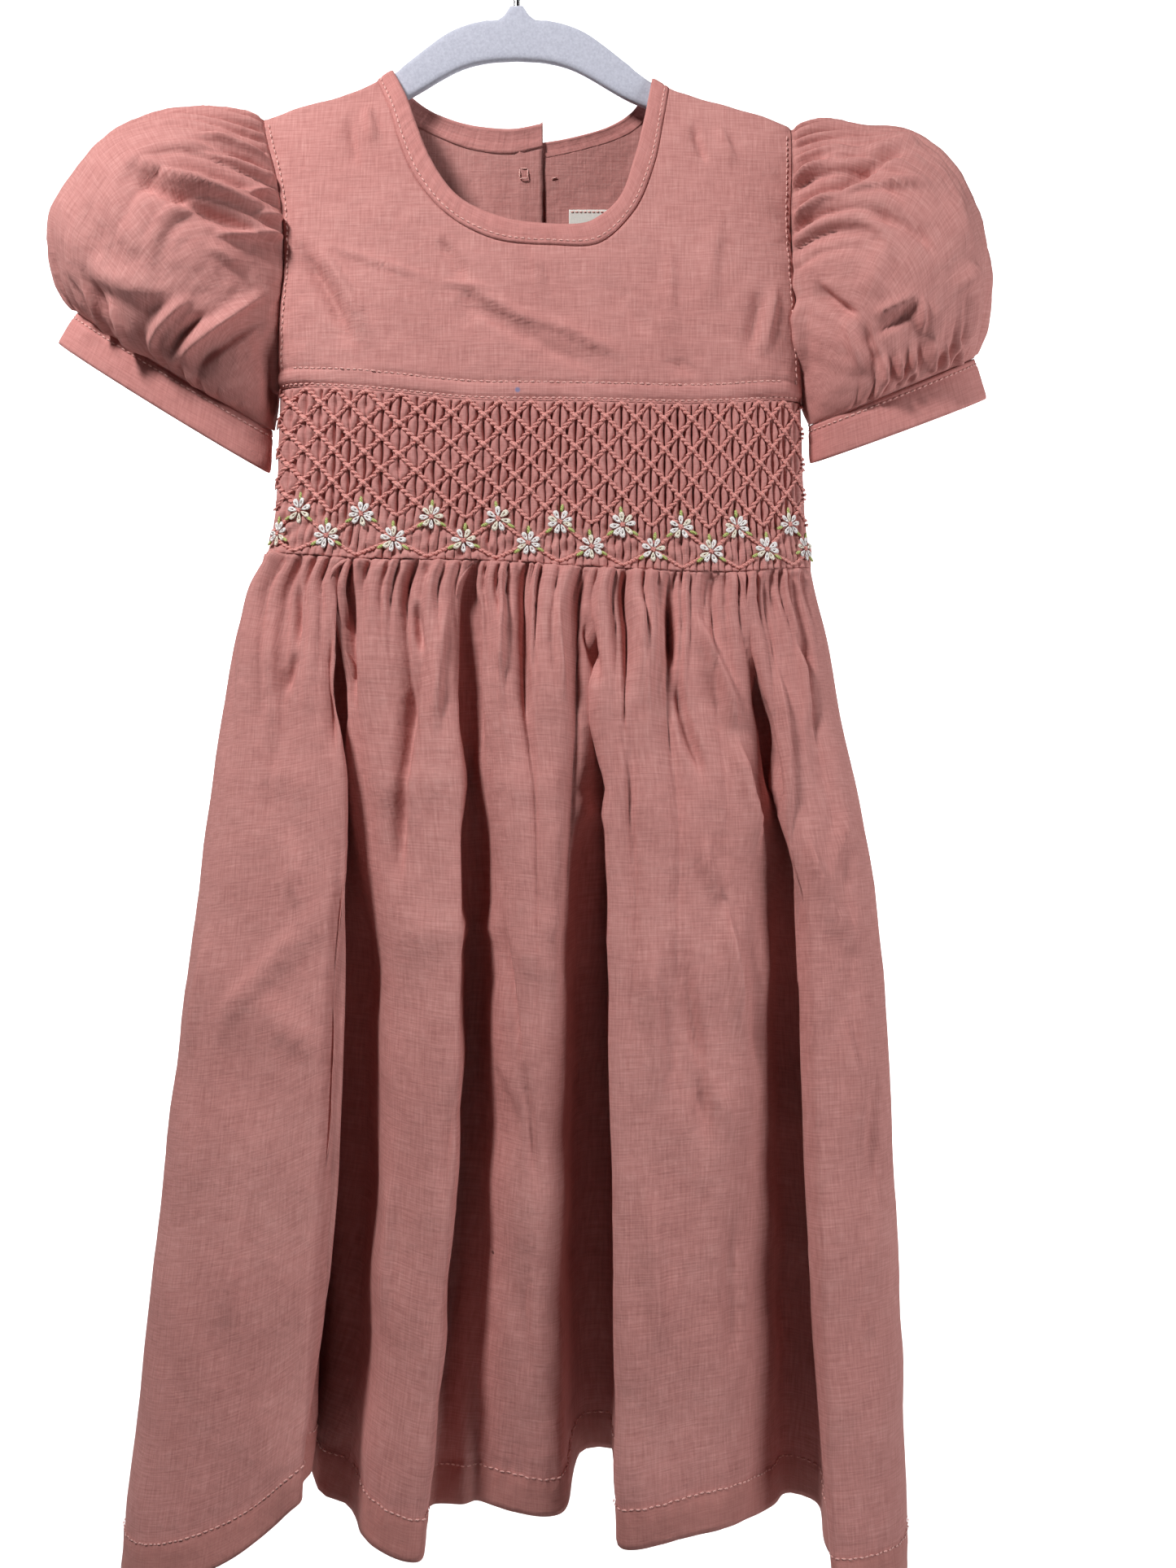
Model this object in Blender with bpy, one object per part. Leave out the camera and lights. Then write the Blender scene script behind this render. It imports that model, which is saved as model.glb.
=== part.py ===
"""A child's smocked cotton dress with puff sleeves, hanging on a flocked hanger.

Run it in Blender: blender --background --python part.py

Frame: metres, +Z up, the front of the dress towards -Y. The origin is the inside top of the
hanger's hook, where it hangs on a rail. Left and right are the wearer's, so right is at -X.
All sizes below are millimetres and become metres when a mesh is made.
"""

import math

import bmesh
import bpy
import numpy as np

MM = 0.001

FRONT, BACK = -1, 1  # the sides of the dress, as directions along Y

# Cloth and seams
WALL = 1.1  # thickness of a single layer of cloth
SEAM_GAP = 0.3  # clear gap between two pieces at a seam
BINDING_EXTRA = 0.5  # how far the folded neck binding stands proud of the yoke
BINDING_SHARE = 0.95  # share of the way from neck edge to seam that the binding covers
CUFF_EXTRA = 0.6  # how far the doubled cuff stands proud of the sleeve's end

# Body of the dress
SHOULDER_BEND = 5.0  # radius of the cloth where it bends over the hanger
CHEST_FULLNESS = 17.0  # how much further out the cloth hangs at the chest
CHEST_REACH = 45.0  # distance below the shoulder over which it gets there
DEPTH_PER_DROP = 0.03  # further depth for each millimetre below the shoulder
SIDE_SQUARENESS = 6.0  # power of the cross-section: higher has flatter fronts and tighter sides
ARMHOLE_HALF_DEPTH = 14.0
TIP_REACH = 25.0  # distance below the shoulder line over which the armhole's top shapes the cloth

# Grid of each cloth piece: columns across, rows down
YOKE_GRID = (32, 6)
YOKE_CORNER = 10 / 32  # share of the yoke's outer edge that is one armhole
YOKE_EXTRA = (0.002, 0.006, 0.013, 0.3025)  # columns where it bends over the hanger, and at the underarm
BACK_GRID = (14, 9)
BACK_EXTRA = (0.004, 0.012, 0.025, 0.06, 0.605, 0.625)  # rows in the same places
BACK_CORNER = 8 / 14  # share of the back's top edge that is neckline
BACK_CORNER_EXTRA = (0.005, 0.015, 0.033)  # columns before the corner of neckline and shoulder
SLEEVE_GRID = (36, 7)
CUFF_GRID = (36, 1)
FRONT_SKIRT_GRID = (80, 10)
BACK_SKIRT_GRID = (50, 8)
SKIRT_ROW_POWER = 1.35  # above 1, the rows are closer together near the waist
SKIRT_TOP_ROW = 0.01  # one more row just below the waist seam, where the gathers start

# Smocking: diamonds of stitching over upright pleats
DIAMONDS = 18
COLUMNS_PER_DIAMOND = 4
TRELLIS_ROWS = 8  # half diamonds down, from the yoke seam to the upper row of flowers
TRELLIS_SHARE = 0.712  # share of the panel's height that the small diamonds take
BORDER_ROWS = 2  # half diamonds of double width below them
STITCH_HEIGHT = 1.3  # how far the stitched lines stand out of the panel
PLEAT_HEIGHT = 0.55  # how far the pleats stand out between the lines

# Shoulder line of the cloth, over the hanger, the same on both sides
SHOULDER = (
    # distance from the hook's axis, height
    (60, -91.0),
    (69, -97.5),
    (77, -101.8),
    (90, -106.3),
    (105, -110.5),
    (120, -115.2),
    (130, -118.7),
    (140, -123.4),
    (150, -130.0),
)

# Side edges of the body, armholes above and side seams below
SIDES = (
    # height, right edge, left edge
    (-345, -127.9, 150.4),
    (-327, -124.2, 147.9),
    (-307, -122.5, 146.7),
    (-282, -121.7, 145.8),
    (-260, -120.8, 145.0),
    (-236, -119.6, 142.9),
    (-215, -117.9, 141.0),
    (-190, -116.3, 138.9),
    (-169, -117.5, 138.5),
    (-150, -120.8, 139.1),
    (-132, -125.8, 139.5),
    (-117, -129.2, 139.8),
)
TIP_X = {"right": -129.2, "left": 139.8}
UNDERARM_Z = {"right": -258.5, "left": -265.0}

# Front neckline: the binding's free edge and its seam, from the right shoulder to the left
FRONT_NECK = (
    # edge across, edge height, seam across, seam height
    (-63.5, -93.3, -71.0, -98.6),
    (-55.0, -111.0, -63.3, -117.0),
    (-49.5, -127.0, -57.5, -136.0),
    (-42.0, -145.5, -49.5, -154.5),
    (-28.5, -164.5, -35.0, -172.5),
    (-8.0, -175.0, -11.0, -186.0),
    (16.0, -178.8, 17.0, -189.2),
    (38.0, -177.4, 42.0, -188.0),
    (50.5, -167.5, 57.5, -173.8),
    (59.5, -145.0, 69.0, -147.5),
    (64.5, -124.0, 74.0, -122.5),
    (69.3, -97.7, 77.4, -102.0),
)

# Back neckline, from the centre opening to each shoulder
BACK_NECK = {
    "right": (
        # edge across, edge height, seam across, seam height
        (13.0, -115.5, 13.0, -126.5),
        (-2.0, -118.0, -4.0, -129.7),
        (-18.0, -117.0, -20.0, -128.2),
        (-34.4, -113.3, -38.5, -122.5),
        (-45.0, -109.3, -50.0, -117.5),
        (-54.0, -103.5, -60.5, -111.5),
        (-63.5, -93.3, -71.0, -98.6),
    ),
    "left": (
        # edge across, edge height, seam across, seam height
        (-8.0, -125.5, -8.0, -133.5),
        (15.0, -123.6, 16.6, -131.0),
        (25.0, -122.0, 25.0, -129.5),
        (36.0, -119.6, 36.0, -127.0),
        (46.4, -116.6, 47.0, -124.0),
        (58.0, -110.5, 61.0, -118.0),
        (69.3, -97.7, 77.4, -102.0),
    ),
}
PLACKET_LAYER = WALL + SEAM_GAP + 0.1  # step inwards of the under layer of the back opening
PLACKET_EDGE = {"right": 13.0, "left": -8.0}
PLACKET_FADE = 24.0  # distance over which the under layer comes back out

YOKE_SEAM = (
    # across, height
    (-121, -258.5),
    (-83, -261.5),
    (-25, -267.5),
    (36, -268.5),
    (90, -269.5),
    (145, -265.0),
)
WAIST_SEAM = (
    # across, height
    (-128, -341.5),
    (-85, -346.0),
    (-10, -348.0),
    (60, -352.0),
    (110, -353.0),
    (151, -348.5),
)

# Puff sleeves: the outline from the shoulder tip round to the cuff, seen from the front
SLEEVES = {
    "right": {
        "outline": (
            (-129.5, -117.9), (-160.0, -116.3), (-179.0, -118.2), (-194.0, -123.0), (-208.0, -131.5),
            (-219.5, -143.3), (-230.5, -157.3), (-237.3, -173.3), (-236.5, -190.0), (-232.5, -205.0),
            (-225.0, -216.3),
        ),
        "inner": ((-121.4, -258.9), (-124.5, -277.2)),
        "puff_half_depth": 34.0,
        "cuff_half_depth": 16.0,
        "cuff_inner": ((-124.6, -277.6), (-126.0, -299.0)),
        "cuff_outer": ((-225.3, -216.6), (-234.8, -232.0)),
    },
    "left": {
        "outline": (
            (140.1, -123.3), (152.0, -122.5), (177.0, -125.6), (197.0, -127.0), (210.5, -134.3),
            (222.5, -146.2), (231.3, -162.3), (237.0, -182.3), (240.5, -203.0), (238.5, -225.0),
            (233.8, -240.0),
        ),
        "inner": ((145.6, -265.4), (149.0, -274.6)),
        "puff_half_depth": 30.0,
        "cuff_half_depth": 25.0,
        "cuff_inner": ((149.1, -275.0), (149.8, -294.0)),
        "cuff_outer": ((234.2, -240.3), (240.4, -260.5)),
    },
}
CUFF_TILT = 0.2  # rise of the cuff towards the back, for each millimetre
PUFF_SQUARENESS = 0.75  # power of the puff's fullness along the sleeve: lower is fuller near its ends
PUFF_AT_UNDERARM = 0.55  # share of the puff's half depth at the underarm
PUFF_TOWARDS_TOP = 0.75  # and what comes to it by the top of the sleeve
HEAD_GATHER_HEIGHT = 1.5  # gathers at the head of the sleeve
HEAD_GATHER_REACH = 0.16  # share of the sleeve's length over which they die away
HEAD_GATHER_START = 0.35  # share of the way up the armhole at which they begin
WRIST_GATHER_HEIGHT = 1.3  # gathers above the cuff
WRIST_GATHER_REACH = 0.13

# Skirt outline on each side, by the distance below the waist
SKIRT_SIDES = (
    # drop, right edge, left edge
    (0, -127.9, 150.4),
    (12, -135.5, 153.0),
    (33, -141.5, 158.5),
    (75, -149.0, 166.0),
    (116, -153.5, 175.5),
    (179, -160.0, 184.5),
    (262, -168.5, 189.0),
    (345, -176.5, 192.0),
    (480, -190.0, 195.0),
)
SKIRT_LENGTH = 480.0
MID_SHARE = 0.36  # how far down the middle column of the fold tables is taken

# Folds of the skirt, from the right side seam to the left. Shares run across the width, from 0 to 1.
FRONT_FOLDS = (
    # share at waist, at mid, at hem; depth at mid, at hem; hem height
    (0.000, 0.000, 0.000, 0.2, 0.2, -832),
    (0.012, 0.004, 0.000, 24, 42, -838),
    (0.036, 0.060, 0.070, 45, 78, -829),
    (0.100, 0.158, 0.172, 53, 88, -810),
    (0.150, 0.228, 0.243, 57, 95, -785),
    (0.172, 0.213, 0.216, 15, 17, -794),
    (0.196, 0.286, 0.305, 46, 76, -807),
    (0.370, 0.396, 0.386, 55, 87, -813),
    (0.388, 0.408, 0.394, 24, 50, -804),
    (0.410, 0.452, 0.436, 49, 56, -801),
    (0.590, 0.552, 0.556, 51, 60, -804),
    (0.616, 0.604, 0.612, 13, 16, -793),
    (0.634, 0.612, 0.634, 57, 87, -808),
    (0.800, 0.752, 0.735, 53, 78, -803),
    (0.862, 0.880, 0.888, 14, 16, -820),
    (0.900, 0.868, 0.884, 49, 77, -836),
    (0.968, 0.956, 0.966, 34, 60, -840),
    (0.986, 0.992, 0.996, 17, 34, -842),
    (1.000, 1.000, 1.000, 0.2, 0.2, -838),
)
BACK_FOLDS = (
    # share at waist, at mid, at hem; depth at mid, at hem; hem height
    (0.000, 0.000, 0.000, 0.2, 0.2, -832),
    (0.014, 0.006, 0.010, 22, 36, -836),
    (0.070, 0.105, 0.115, 47, 76, -832),
    (0.180, 0.198, 0.205, 52, 84, -828),
    (0.216, 0.232, 0.222, 18, 22, -826),
    (0.290, 0.296, 0.280, 50, 78, -829),
    (0.400, 0.388, 0.392, 52, 86, -831),
    (0.436, 0.430, 0.436, 17, 18, -829),
    (0.520, 0.500, 0.500, 49, 74, -831),
    (0.610, 0.608, 0.622, 53, 88, -830),
    (0.648, 0.650, 0.650, 18, 20, -828),
    (0.730, 0.730, 0.716, 50, 80, -831),
    (0.830, 0.826, 0.836, 51, 82, -832),
    (0.872, 0.860, 0.856, 19, 24, -832),
    (0.936, 0.930, 0.934, 42, 66, -836),
    (0.984, 0.988, 0.988, 20, 34, -838),
    (1.000, 1.000, 1.000, 0.2, 0.2, -838),
)
GATHER_HEIGHT = 1.5  # half height of the gathers just below the waist
GATHER_REACH = 62.0  # distance over which the gathers run out into the folds
GATHER_SEAM_SHARE = 1 / 30  # share of the cloth beside each side seam over which they die away

# Hanger: a flat flocked arm with a wire hook
HANGER_HALF_THICKNESS = 2.8
HANGER_CLEARANCE = 0.9  # between the hanger's top and the cloth that hangs on it
HANGER_NECK = (
    # distance from the axis, height of the top edge, between the hook and the dress
    (0.0, -60.0),
    (3.4, -60.4),
    (5.2, -63.6),
    (8.0, -66.4),
    (16.0, -67.6),
    (26.0, -70.0),
    (35.0, -73.8),
    (44.0, -80.0),
    (55.0, -88.6),
    (60.0, -92.5),
)
HANGER_UNDERSIDE = (
    # distance from the axis, height of the lower edge
    (0, -88.0),
    (16, -89.2),
    (28, -92.4),
    (38, -97.4),
    (48, -103.4),
    (57, -108.4),
    (66, -112.2),
    (80, -118.2),
    (100, -124.0),
    (120, -129.4),
    (140, -135.8),
    (149, -137.6),
)
HANGER_HALF_SPAN = 149.0
HANGER_TIP_ROUND = 6.0  # length over which the arm's tip rounds off
HANGER_TIP_FLAT = 1.2  # the tip ends in a small flat face, as if it ran on this far
HANGER_TIP_THICKNESS = 0.55  # share of its thickness that the tip keeps
HANGER_CHAMFER = 1.7  # height of the chamfer along each edge
HANGER_SECTION = (
    # share of the half thickness, edge: 1 above, -1 below
    (0.35, 1),
    (1, 1),
    (1, -1),
    (0.35, -1),
    (-0.35, -1),
    (-1, -1),
    (-1, 1),
    (-0.35, 1),
)
WIRE_RADIUS = 1.6
HOOK_INNER_RADIUS = 17.0
HOOK_ANGLES = (-48.0, 205.0)  # where the round part of the hook starts and ends, in degrees
HOOK_SHANK_TOP = -47.0  # height at which the straight shank ends
HOOK_BEND_PULL = 9.0  # how gently the shank bends over to the round part
SOCKET_DEPTH = 13.0

# Back buttons
BUTTON_RADIUS = 5.5
BUTTON_THICKNESS = 2.2
BUTTON_STANDOFF = 0.5  # from the cloth's surface under the button's middle to the button
BUTTON_HEIGHTS = (-140.0, -205.0, -270.0)
BUTTON_X = 3.0
BUTTON_RIM = 1.3  # width of the raised rim
BUTTON_DISH = 0.6  # depth inside the rim
BUTTON_HOLE_RADIUS = 0.75
BUTTON_HOLE_OFFSET = 1.2  # of each of the four holes from the middle, across and up

# Woven label inside the back neck
LABEL_SIZE = (24.0, 17.0)
LABEL_CORNER = (26.5, -157.5)
LABEL_WALL = 1.0

ROSE_CLOTH = (0.44, 0.17, 0.15)
ROSE_TRIM = (0.46, 0.18, 0.16)
GREY_FLOCK = (0.50, 0.50, 0.58)
STEEL = (0.72, 0.72, 0.74)
WHITE_TAPE = (0.80, 0.80, 0.76)
ROSE_RESIN = (0.52, 0.22, 0.19)


def smooth(at, values):
    """A smooth curve through values, to be read at any place from the first of at to the last."""
    at = np.asarray(at, float)
    values = np.asarray(values, float)
    slope = np.gradient(values, at)

    def read(where):
        where = np.clip(where, at[0], at[-1])
        i = np.clip(np.searchsorted(at, where) - 1, 0, len(at) - 2)
        gap = at[i + 1] - at[i]
        t = (where - at[i]) / gap
        start = (1 + 2 * t) * (1 - t) ** 2 * values[i] + t * (1 - t) ** 2 * gap * slope[i]
        end = t * t * (3 - 2 * t) * values[i + 1] + t * t * (t - 1) * gap * slope[i + 1]
        return start + end

    return read


def outline(points):
    """A smooth curve through points on a plane, read by its share from 0 to 1."""
    points = np.asarray(points, float)
    steps = np.linalg.norm(np.diff(points, axis=0), axis=1)
    along = np.concatenate([[0], np.cumsum(steps)]) / steps.sum()
    across, up = (smooth(along, points[:, k]) for k in (0, 1))
    return lambda share: np.stack([across(share), up(share)], axis=-1)


def columns_of(table, *which):
    """A smooth curve for each of the named columns, by the table's first column."""
    rows = np.asarray(table, float)
    return [smooth(rows[:, 0], rows[:, k]) for k in which]


def eased(share):
    share = np.clip(share, 0, 1)
    return share * share * (3 - 2 * share)


(shoulder_height,) = columns_of(SHOULDER, 1)
right_edge, left_edge = columns_of(SIDES, 1, 2)
(yoke_seam_height,) = columns_of(YOKE_SEAM, 1)
(waist_seam_height,) = columns_of(WAIST_SEAM, 1)
skirt_right, skirt_left = columns_of(SKIRT_SIDES, 1, 2)


def seam_points(height, share):
    """Points of a seam that crosses the body from its right edge to its left, by share."""
    z = height(0.0 * share)
    for _ in range(4):
        x = right_edge(z) + (left_edge(z) - right_edge(z)) * share
        z = height(x)
    return np.stack([x, z], axis=-1)


def side_edge(side, z):
    return right_edge(z) if side == "right" else left_edge(z)


def tip_height(side):
    return float(shoulder_height(abs(TIP_X[side])))


def armhole_half_depth(side, z):
    """Half the opening of the armhole at a height; almost closed above the tip and below the arm."""
    low, high = UNDERARM_Z[side], tip_height(side)
    share = np.clip((z - low) / (high - low), 0, 1)
    return np.maximum(ARMHOLE_HALF_DEPTH * 2 * np.sqrt(share * (1 - share)), SEAM_GAP / 2)


def body_depth(x, z):
    """Distance of the outer cloth from the middle plane, anywhere on the yoke, back or smocking."""
    below = np.maximum(shoulder_height(np.abs(x)) - z, 0)
    bend = np.sqrt(np.maximum(1 - (1 - np.minimum(below / SHOULDER_BEND, 1)) ** 2, 0))
    past = np.maximum(below - SHOULDER_BEND, 0)
    middle = SHOULDER_BEND * bend + DEPTH_PER_DROP * past
    middle = middle + CHEST_FULLNESS * (1 - np.exp(-past / CHEST_REACH))
    low, high = right_edge(z), left_edge(z)
    across = np.clip((2 * x - low - high) / (high - low), -1, 1)
    near_shoulder = eased(1 - below / TIP_REACH)
    edge = np.where(
        across < 0,
        armhole_half_depth("right", z + (tip_height("right") - z - below) * near_shoulder),
        armhole_half_depth("left", z + (tip_height("left") - z - below) * near_shoulder),
    )
    round_off = np.sqrt(1 - np.abs(across) ** SIDE_SQUARENESS)
    return np.maximum(edge + (middle - edge) * round_off, SEAM_GAP / 2)


def on_body(plane_points, side, inwards=0.0):
    """Points of the front or back plane, moved out to the cloth's outer surface."""
    x, z = plane_points[..., 0], plane_points[..., 1]
    return np.stack([x, side * (body_depth(x, z) - inwards), z], axis=-1)


def patch(start, end, first_side, second_side):
    """A plane patch between four edges: start and end run across, the sides run down."""

    def place(u, v):
        u, v = np.asarray(u)[..., None], np.asarray(v)[..., None]
        rows = (1 - v) * start(u[..., 0]) + v * end(u[..., 0])
        lines = (1 - u) * first_side(v[..., 0]) + u * second_side(v[..., 0])
        corners = (1 - u) * ((1 - v) * start(0.0) + v * end(0.0))
        corners = corners + u * ((1 - v) * start(1.0) + v * end(1.0))
        return rows + lines - corners

    return place


def joined(*stretches):
    """One edge made of several: each stretch is (share of the edge, curve)."""
    shares = np.cumsum([0.0] + [share for share, _ in stretches])

    def read(where):
        where = np.asarray(where, float)
        out = np.zeros(where.shape + (2,))
        for (share, curve), low in zip(stretches, shares):
            inside = (where >= low - 1e-9) & (where <= low + share + 1e-9)
            local = np.clip((where - low) / share, 0, 1)
            out = np.where(inside[..., None], curve(local), out)
        return out

    return read


def line_to(start_x, end_x, height):
    """An edge that runs across between two places at the height that a function gives."""

    def read(share):
        x = start_x + (end_x - start_x) * share
        return np.stack([x, height(x)], axis=-1)

    return read


def armhole_edge(side, above_underarm):
    """The armhole's edge from the shoulder tip down to a place just above the underarm."""

    def read(share):
        low, high = UNDERARM_Z[side] + above_underarm, tip_height(side)
        z = high + (low - high) * share
        return np.stack([side_edge(side, z), z], axis=-1)

    return read


# Making a closed wall from a surface


def mesh_object(name, points, faces, colour, roughness=0.85):
    mesh = bpy.data.meshes.new(name)
    places = [tuple(point) for point in np.asarray(points) * MM]
    mesh.from_pydata(places, [], [tuple(int(corner) for corner in face) for face in faces])
    mesh.update()
    mesh.shade_smooth()
    mesh.set_sharp_from_angle(angle=math.radians(50))
    mesh.materials.append(finish(name, colour, roughness, metallic=0.0))
    made = bpy.data.objects.new(name, mesh)
    bpy.context.scene.collection.objects.link(made)
    return made


def finish(name, colour, roughness, metallic):
    material = bpy.data.materials.new(name)
    material.use_nodes = True
    shader = material.node_tree.nodes["Principled BSDF"]
    shader.inputs["Base Color"].default_value = (*colour, 1.0)
    shader.inputs["Roughness"].default_value = roughness
    shader.inputs["Metallic"].default_value = metallic
    return material


def normals_of(place, u, v, wraps=False):
    """Unit normals of a surface, on one side of it or the other. On a tube u wraps round."""
    step = 1e-4
    keep = (lambda share: share) if wraps else (lambda share: np.clip(share, 0, 1))
    along = place(keep(u + step), v) - place(keep(u - step), v)
    down = place(u, np.clip(v + step, 0, 1)) - place(u, np.clip(v - step, 0, 1))
    normal = np.cross(along, down)
    return normal / np.maximum(np.linalg.norm(normal, axis=-1, keepdims=True), 1e-12)


def band_faces(first, second):
    """Triangles between two lines of points, the longer having a whole multiple of the other's steps."""
    if len(first) < len(second):
        return [face[::-1] for face in band_faces(second, first)]
    ratio = (len(first) - 1) // (len(second) - 1)
    faces = []
    for j in range(len(second) - 1):
        middle = j * ratio + ratio // 2
        for i in range(j * ratio, (j + 1) * ratio):
            faces.append((first[i], first[i + 1], second[j] if i < middle else second[j + 1]))
        faces.append((first[middle], second[j + 1], second[j]))
    return faces


def even(count):
    return np.linspace(0, 1, count + 1)


def cloth_wall(name, place, columns, rows, side, colour, relief=None, plain_inside=0, wall=WALL):
    """A closed wall of cloth over place(u, v), which gives the outer surface at columns and rows.

    relief(i, j, u, v) raises the outer points. With plain_inside the inner surface leaves the
    relief out and has that many times fewer columns and rows. side is FRONT or BACK: the piece
    faces that way and stays on its own side of the middle plane, so that both meet at a gap.
    """
    i, j = np.meshgrid(np.arange(len(columns)), np.arange(len(rows)))
    u, v = columns[i], rows[j]
    base = place(u, v)
    normal = normals_of(place, u, v)
    normal = normal * np.sign(normal[..., 1].sum() * side)
    raised = np.zeros(u.shape) if relief is None else relief(i, j, u, v)
    outer = base + normal * raised[..., None]
    if plain_inside:
        pick = (slice(None, None, plain_inside), slice(None, None, plain_inside))
        inner = (base - normal * wall)[pick]
    else:
        inner = outer - normal * wall
    for surface in (outer, inner):
        surface[..., 1] = side * np.maximum(side * surface[..., 1], SEAM_GAP / 2)
    outer_ids = np.arange(outer[..., 0].size).reshape(outer.shape[:2])
    inner_ids = np.arange(inner[..., 0].size).reshape(inner.shape[:2]) + outer_ids.size
    faces = grid_faces(outer_ids) + [f[::-1] for f in grid_faces(inner_ids)]
    faces += band_faces(list(inner_ids[0]), list(outer_ids[0]))
    faces += band_faces(list(outer_ids[-1]), list(inner_ids[-1]))
    faces += band_faces(list(outer_ids[:, 0]), list(inner_ids[:, 0]))
    faces += band_faces(list(inner_ids[:, -1]), list(outer_ids[:, -1]))
    points = np.concatenate([outer.reshape(-1, 3), inner.reshape(-1, 3)])
    return facing_out(mesh_object(name, points, faces, colour))


def tube_wall(name, place, grid, colour, relief=None, wall=WALL):
    """A closed wall of cloth round a tube: u goes round and v goes along it."""
    columns, n_rows = grid
    i, j = np.meshgrid(np.arange(columns), np.arange(n_rows + 1))
    u, v = i / columns, j / n_rows
    base = place(u, v)
    normal = normals_of(place, u, v, wraps=True)
    from_middle = base - base.mean(axis=1, keepdims=True)
    normal = normal * np.sign((normal * from_middle).sum())
    raised = np.zeros(u.shape) if relief is None else relief(i, j, u, v)
    outer = base + normal * raised[..., None]
    inner = outer - normal * wall
    outer_ids = np.arange(u.size).reshape(u.shape)
    inner_ids = outer_ids + u.size
    wrap = lambda ids: np.concatenate([ids, ids[:, :1]], axis=1)
    faces = grid_faces(wrap(outer_ids)) + [f[::-1] for f in grid_faces(wrap(inner_ids))]
    for row, turned in ((0, False), (-1, True)):
        a, b = wrap(outer_ids)[row], wrap(inner_ids)[row]
        rim = [(b[k], b[k + 1], a[k + 1], a[k]) for k in range(columns)]
        faces += [f[::-1] for f in rim] if turned else rim
    points = np.concatenate([outer.reshape(-1, 3), inner.reshape(-1, 3)])
    return facing_out(mesh_object(name, points, faces, colour))


def grid_faces(ids):
    return [
        (ids[j, i], ids[j, i + 1], ids[j + 1, i + 1], ids[j + 1, i])
        for j in range(ids.shape[0] - 1)
        for i in range(ids.shape[1] - 1)
    ]


def facing_out(made):
    """Gives all faces of a closed wall the same turn, pointing out."""
    work = bmesh.new()
    work.from_mesh(made.data)
    bmesh.ops.recalc_face_normals(work, faces=work.faces)
    if work.calc_volume(signed=True) < 0:
        bmesh.ops.reverse_faces(work, faces=work.faces)
    work.to_mesh(made.data)
    work.free()
    return made


# Yoke, back and bindings


def neck_curves(rows):
    rows = np.asarray(rows, float)
    return outline(rows[:, :2]), outline(rows[:, 2:])


def yoke_columns():
    """Even columns, with more where the cloth bends over the hanger and at the underarms."""
    extra = np.array(YOKE_EXTRA)
    return np.sort(np.concatenate([even(YOKE_GRID[0]), extra, 1 - extra]))


def make_front_yoke():
    _, seam = neck_curves(FRONT_NECK)
    armhole_right, armhole_left = (armhole_edge(side, 2 * SEAM_GAP) for side in ("right", "left"))
    lower_edge = lambda share: seam_points(yoke_seam_height, share) + np.array([0.0, SEAM_GAP])
    outer_edge = joined(
        (YOKE_CORNER, armhole_right),
        (1 - 2 * YOKE_CORNER, lower_edge),
        (YOKE_CORNER, lambda share: armhole_left(1 - share)),
    )
    shoulders = [
        line_to(start[0], TIP_X[side], lambda x: shoulder_height(np.abs(x)))
        for side, start in (("right", FRONT_NECK[0][2:]), ("left", FRONT_NECK[-1][2:]))
    ]
    plane = patch(seam, outer_edge, *shoulders)
    place = lambda u, v: on_body(plane(u, v), FRONT)
    cloth_wall("front_yoke", place, yoke_columns(), even(YOKE_GRID[1]), FRONT, ROSE_CLOTH)


def binding_plane(rows):
    """The strip between the neck edge and the seam, stopping short of the seam by its gap."""
    edge, seam = neck_curves(rows)
    return lambda u, v: edge(u) + (seam(u) - edge(u)) * (v * BINDING_SHARE)[..., None]


def make_front_binding():
    plane = binding_plane(FRONT_NECK)
    place = lambda u, v: on_body(plane(u, v), FRONT, inwards=-BINDING_EXTRA)
    wall = WALL + BINDING_EXTRA
    cloth_wall("front_neck_binding", place, yoke_columns(), even(1), FRONT, ROSE_TRIM, wall=wall)


def under_layer(side, x):
    """How far the back piece steps in: the right piece lies under the left one at the opening."""
    if side == "left":
        return 0.0
    past_middle = (x - (PLACKET_EDGE["left"] - PLACKET_FADE)) / PLACKET_FADE
    return PLACKET_LAYER * eased(past_middle)


def back_surface(plane, side, extra=0.0):
    def place(u, v):
        points = plane(u, v)
        return on_body(points, BACK, inwards=under_layer(side, points[..., 0]) - extra)

    return place


def back_columns():
    """Even columns, with more just before the corner of the neckline and the shoulder."""
    return np.sort(np.concatenate([even(BACK_GRID[0]), BACK_CORNER - np.array(BACK_CORNER_EXTRA)]))


def make_back(side):
    _, seam = neck_curves(BACK_NECK[side])
    shoulder = line_to(BACK_NECK[side][-1][2], TIP_X[side], lambda x: shoulder_height(np.abs(x)))
    top = joined((BACK_CORNER, seam), (1 - BACK_CORNER, shoulder))
    edge_x = PLACKET_EDGE[side]
    waist = lambda x: waist_seam_height(x) + SEAM_GAP / 2
    waist_x = side_edge(side, float(waist_seam_height(TIP_X[side])))
    bottom = line_to(edge_x, waist_x, waist)
    top_z = BACK_NECK[side][0][3]
    centre_z = float(waist(edge_x))
    centre = lambda v: np.stack([edge_x + 0 * v, top_z + (centre_z - top_z) * v], axis=-1)
    tip_z, waist_z = tip_height(side), float(waist(waist_x))

    def outer_side(v):
        z = tip_z + (waist_z - tip_z) * v
        return np.stack([side_edge(side, z), z], axis=-1)

    plane = patch(top, bottom, centre, outer_side)
    place = back_surface(plane, side)
    rows = np.sort(np.concatenate([even(BACK_GRID[1]), BACK_EXTRA]))
    cloth_wall(f"back_{side}", place, back_columns(), rows, BACK, ROSE_CLOTH)


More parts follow.
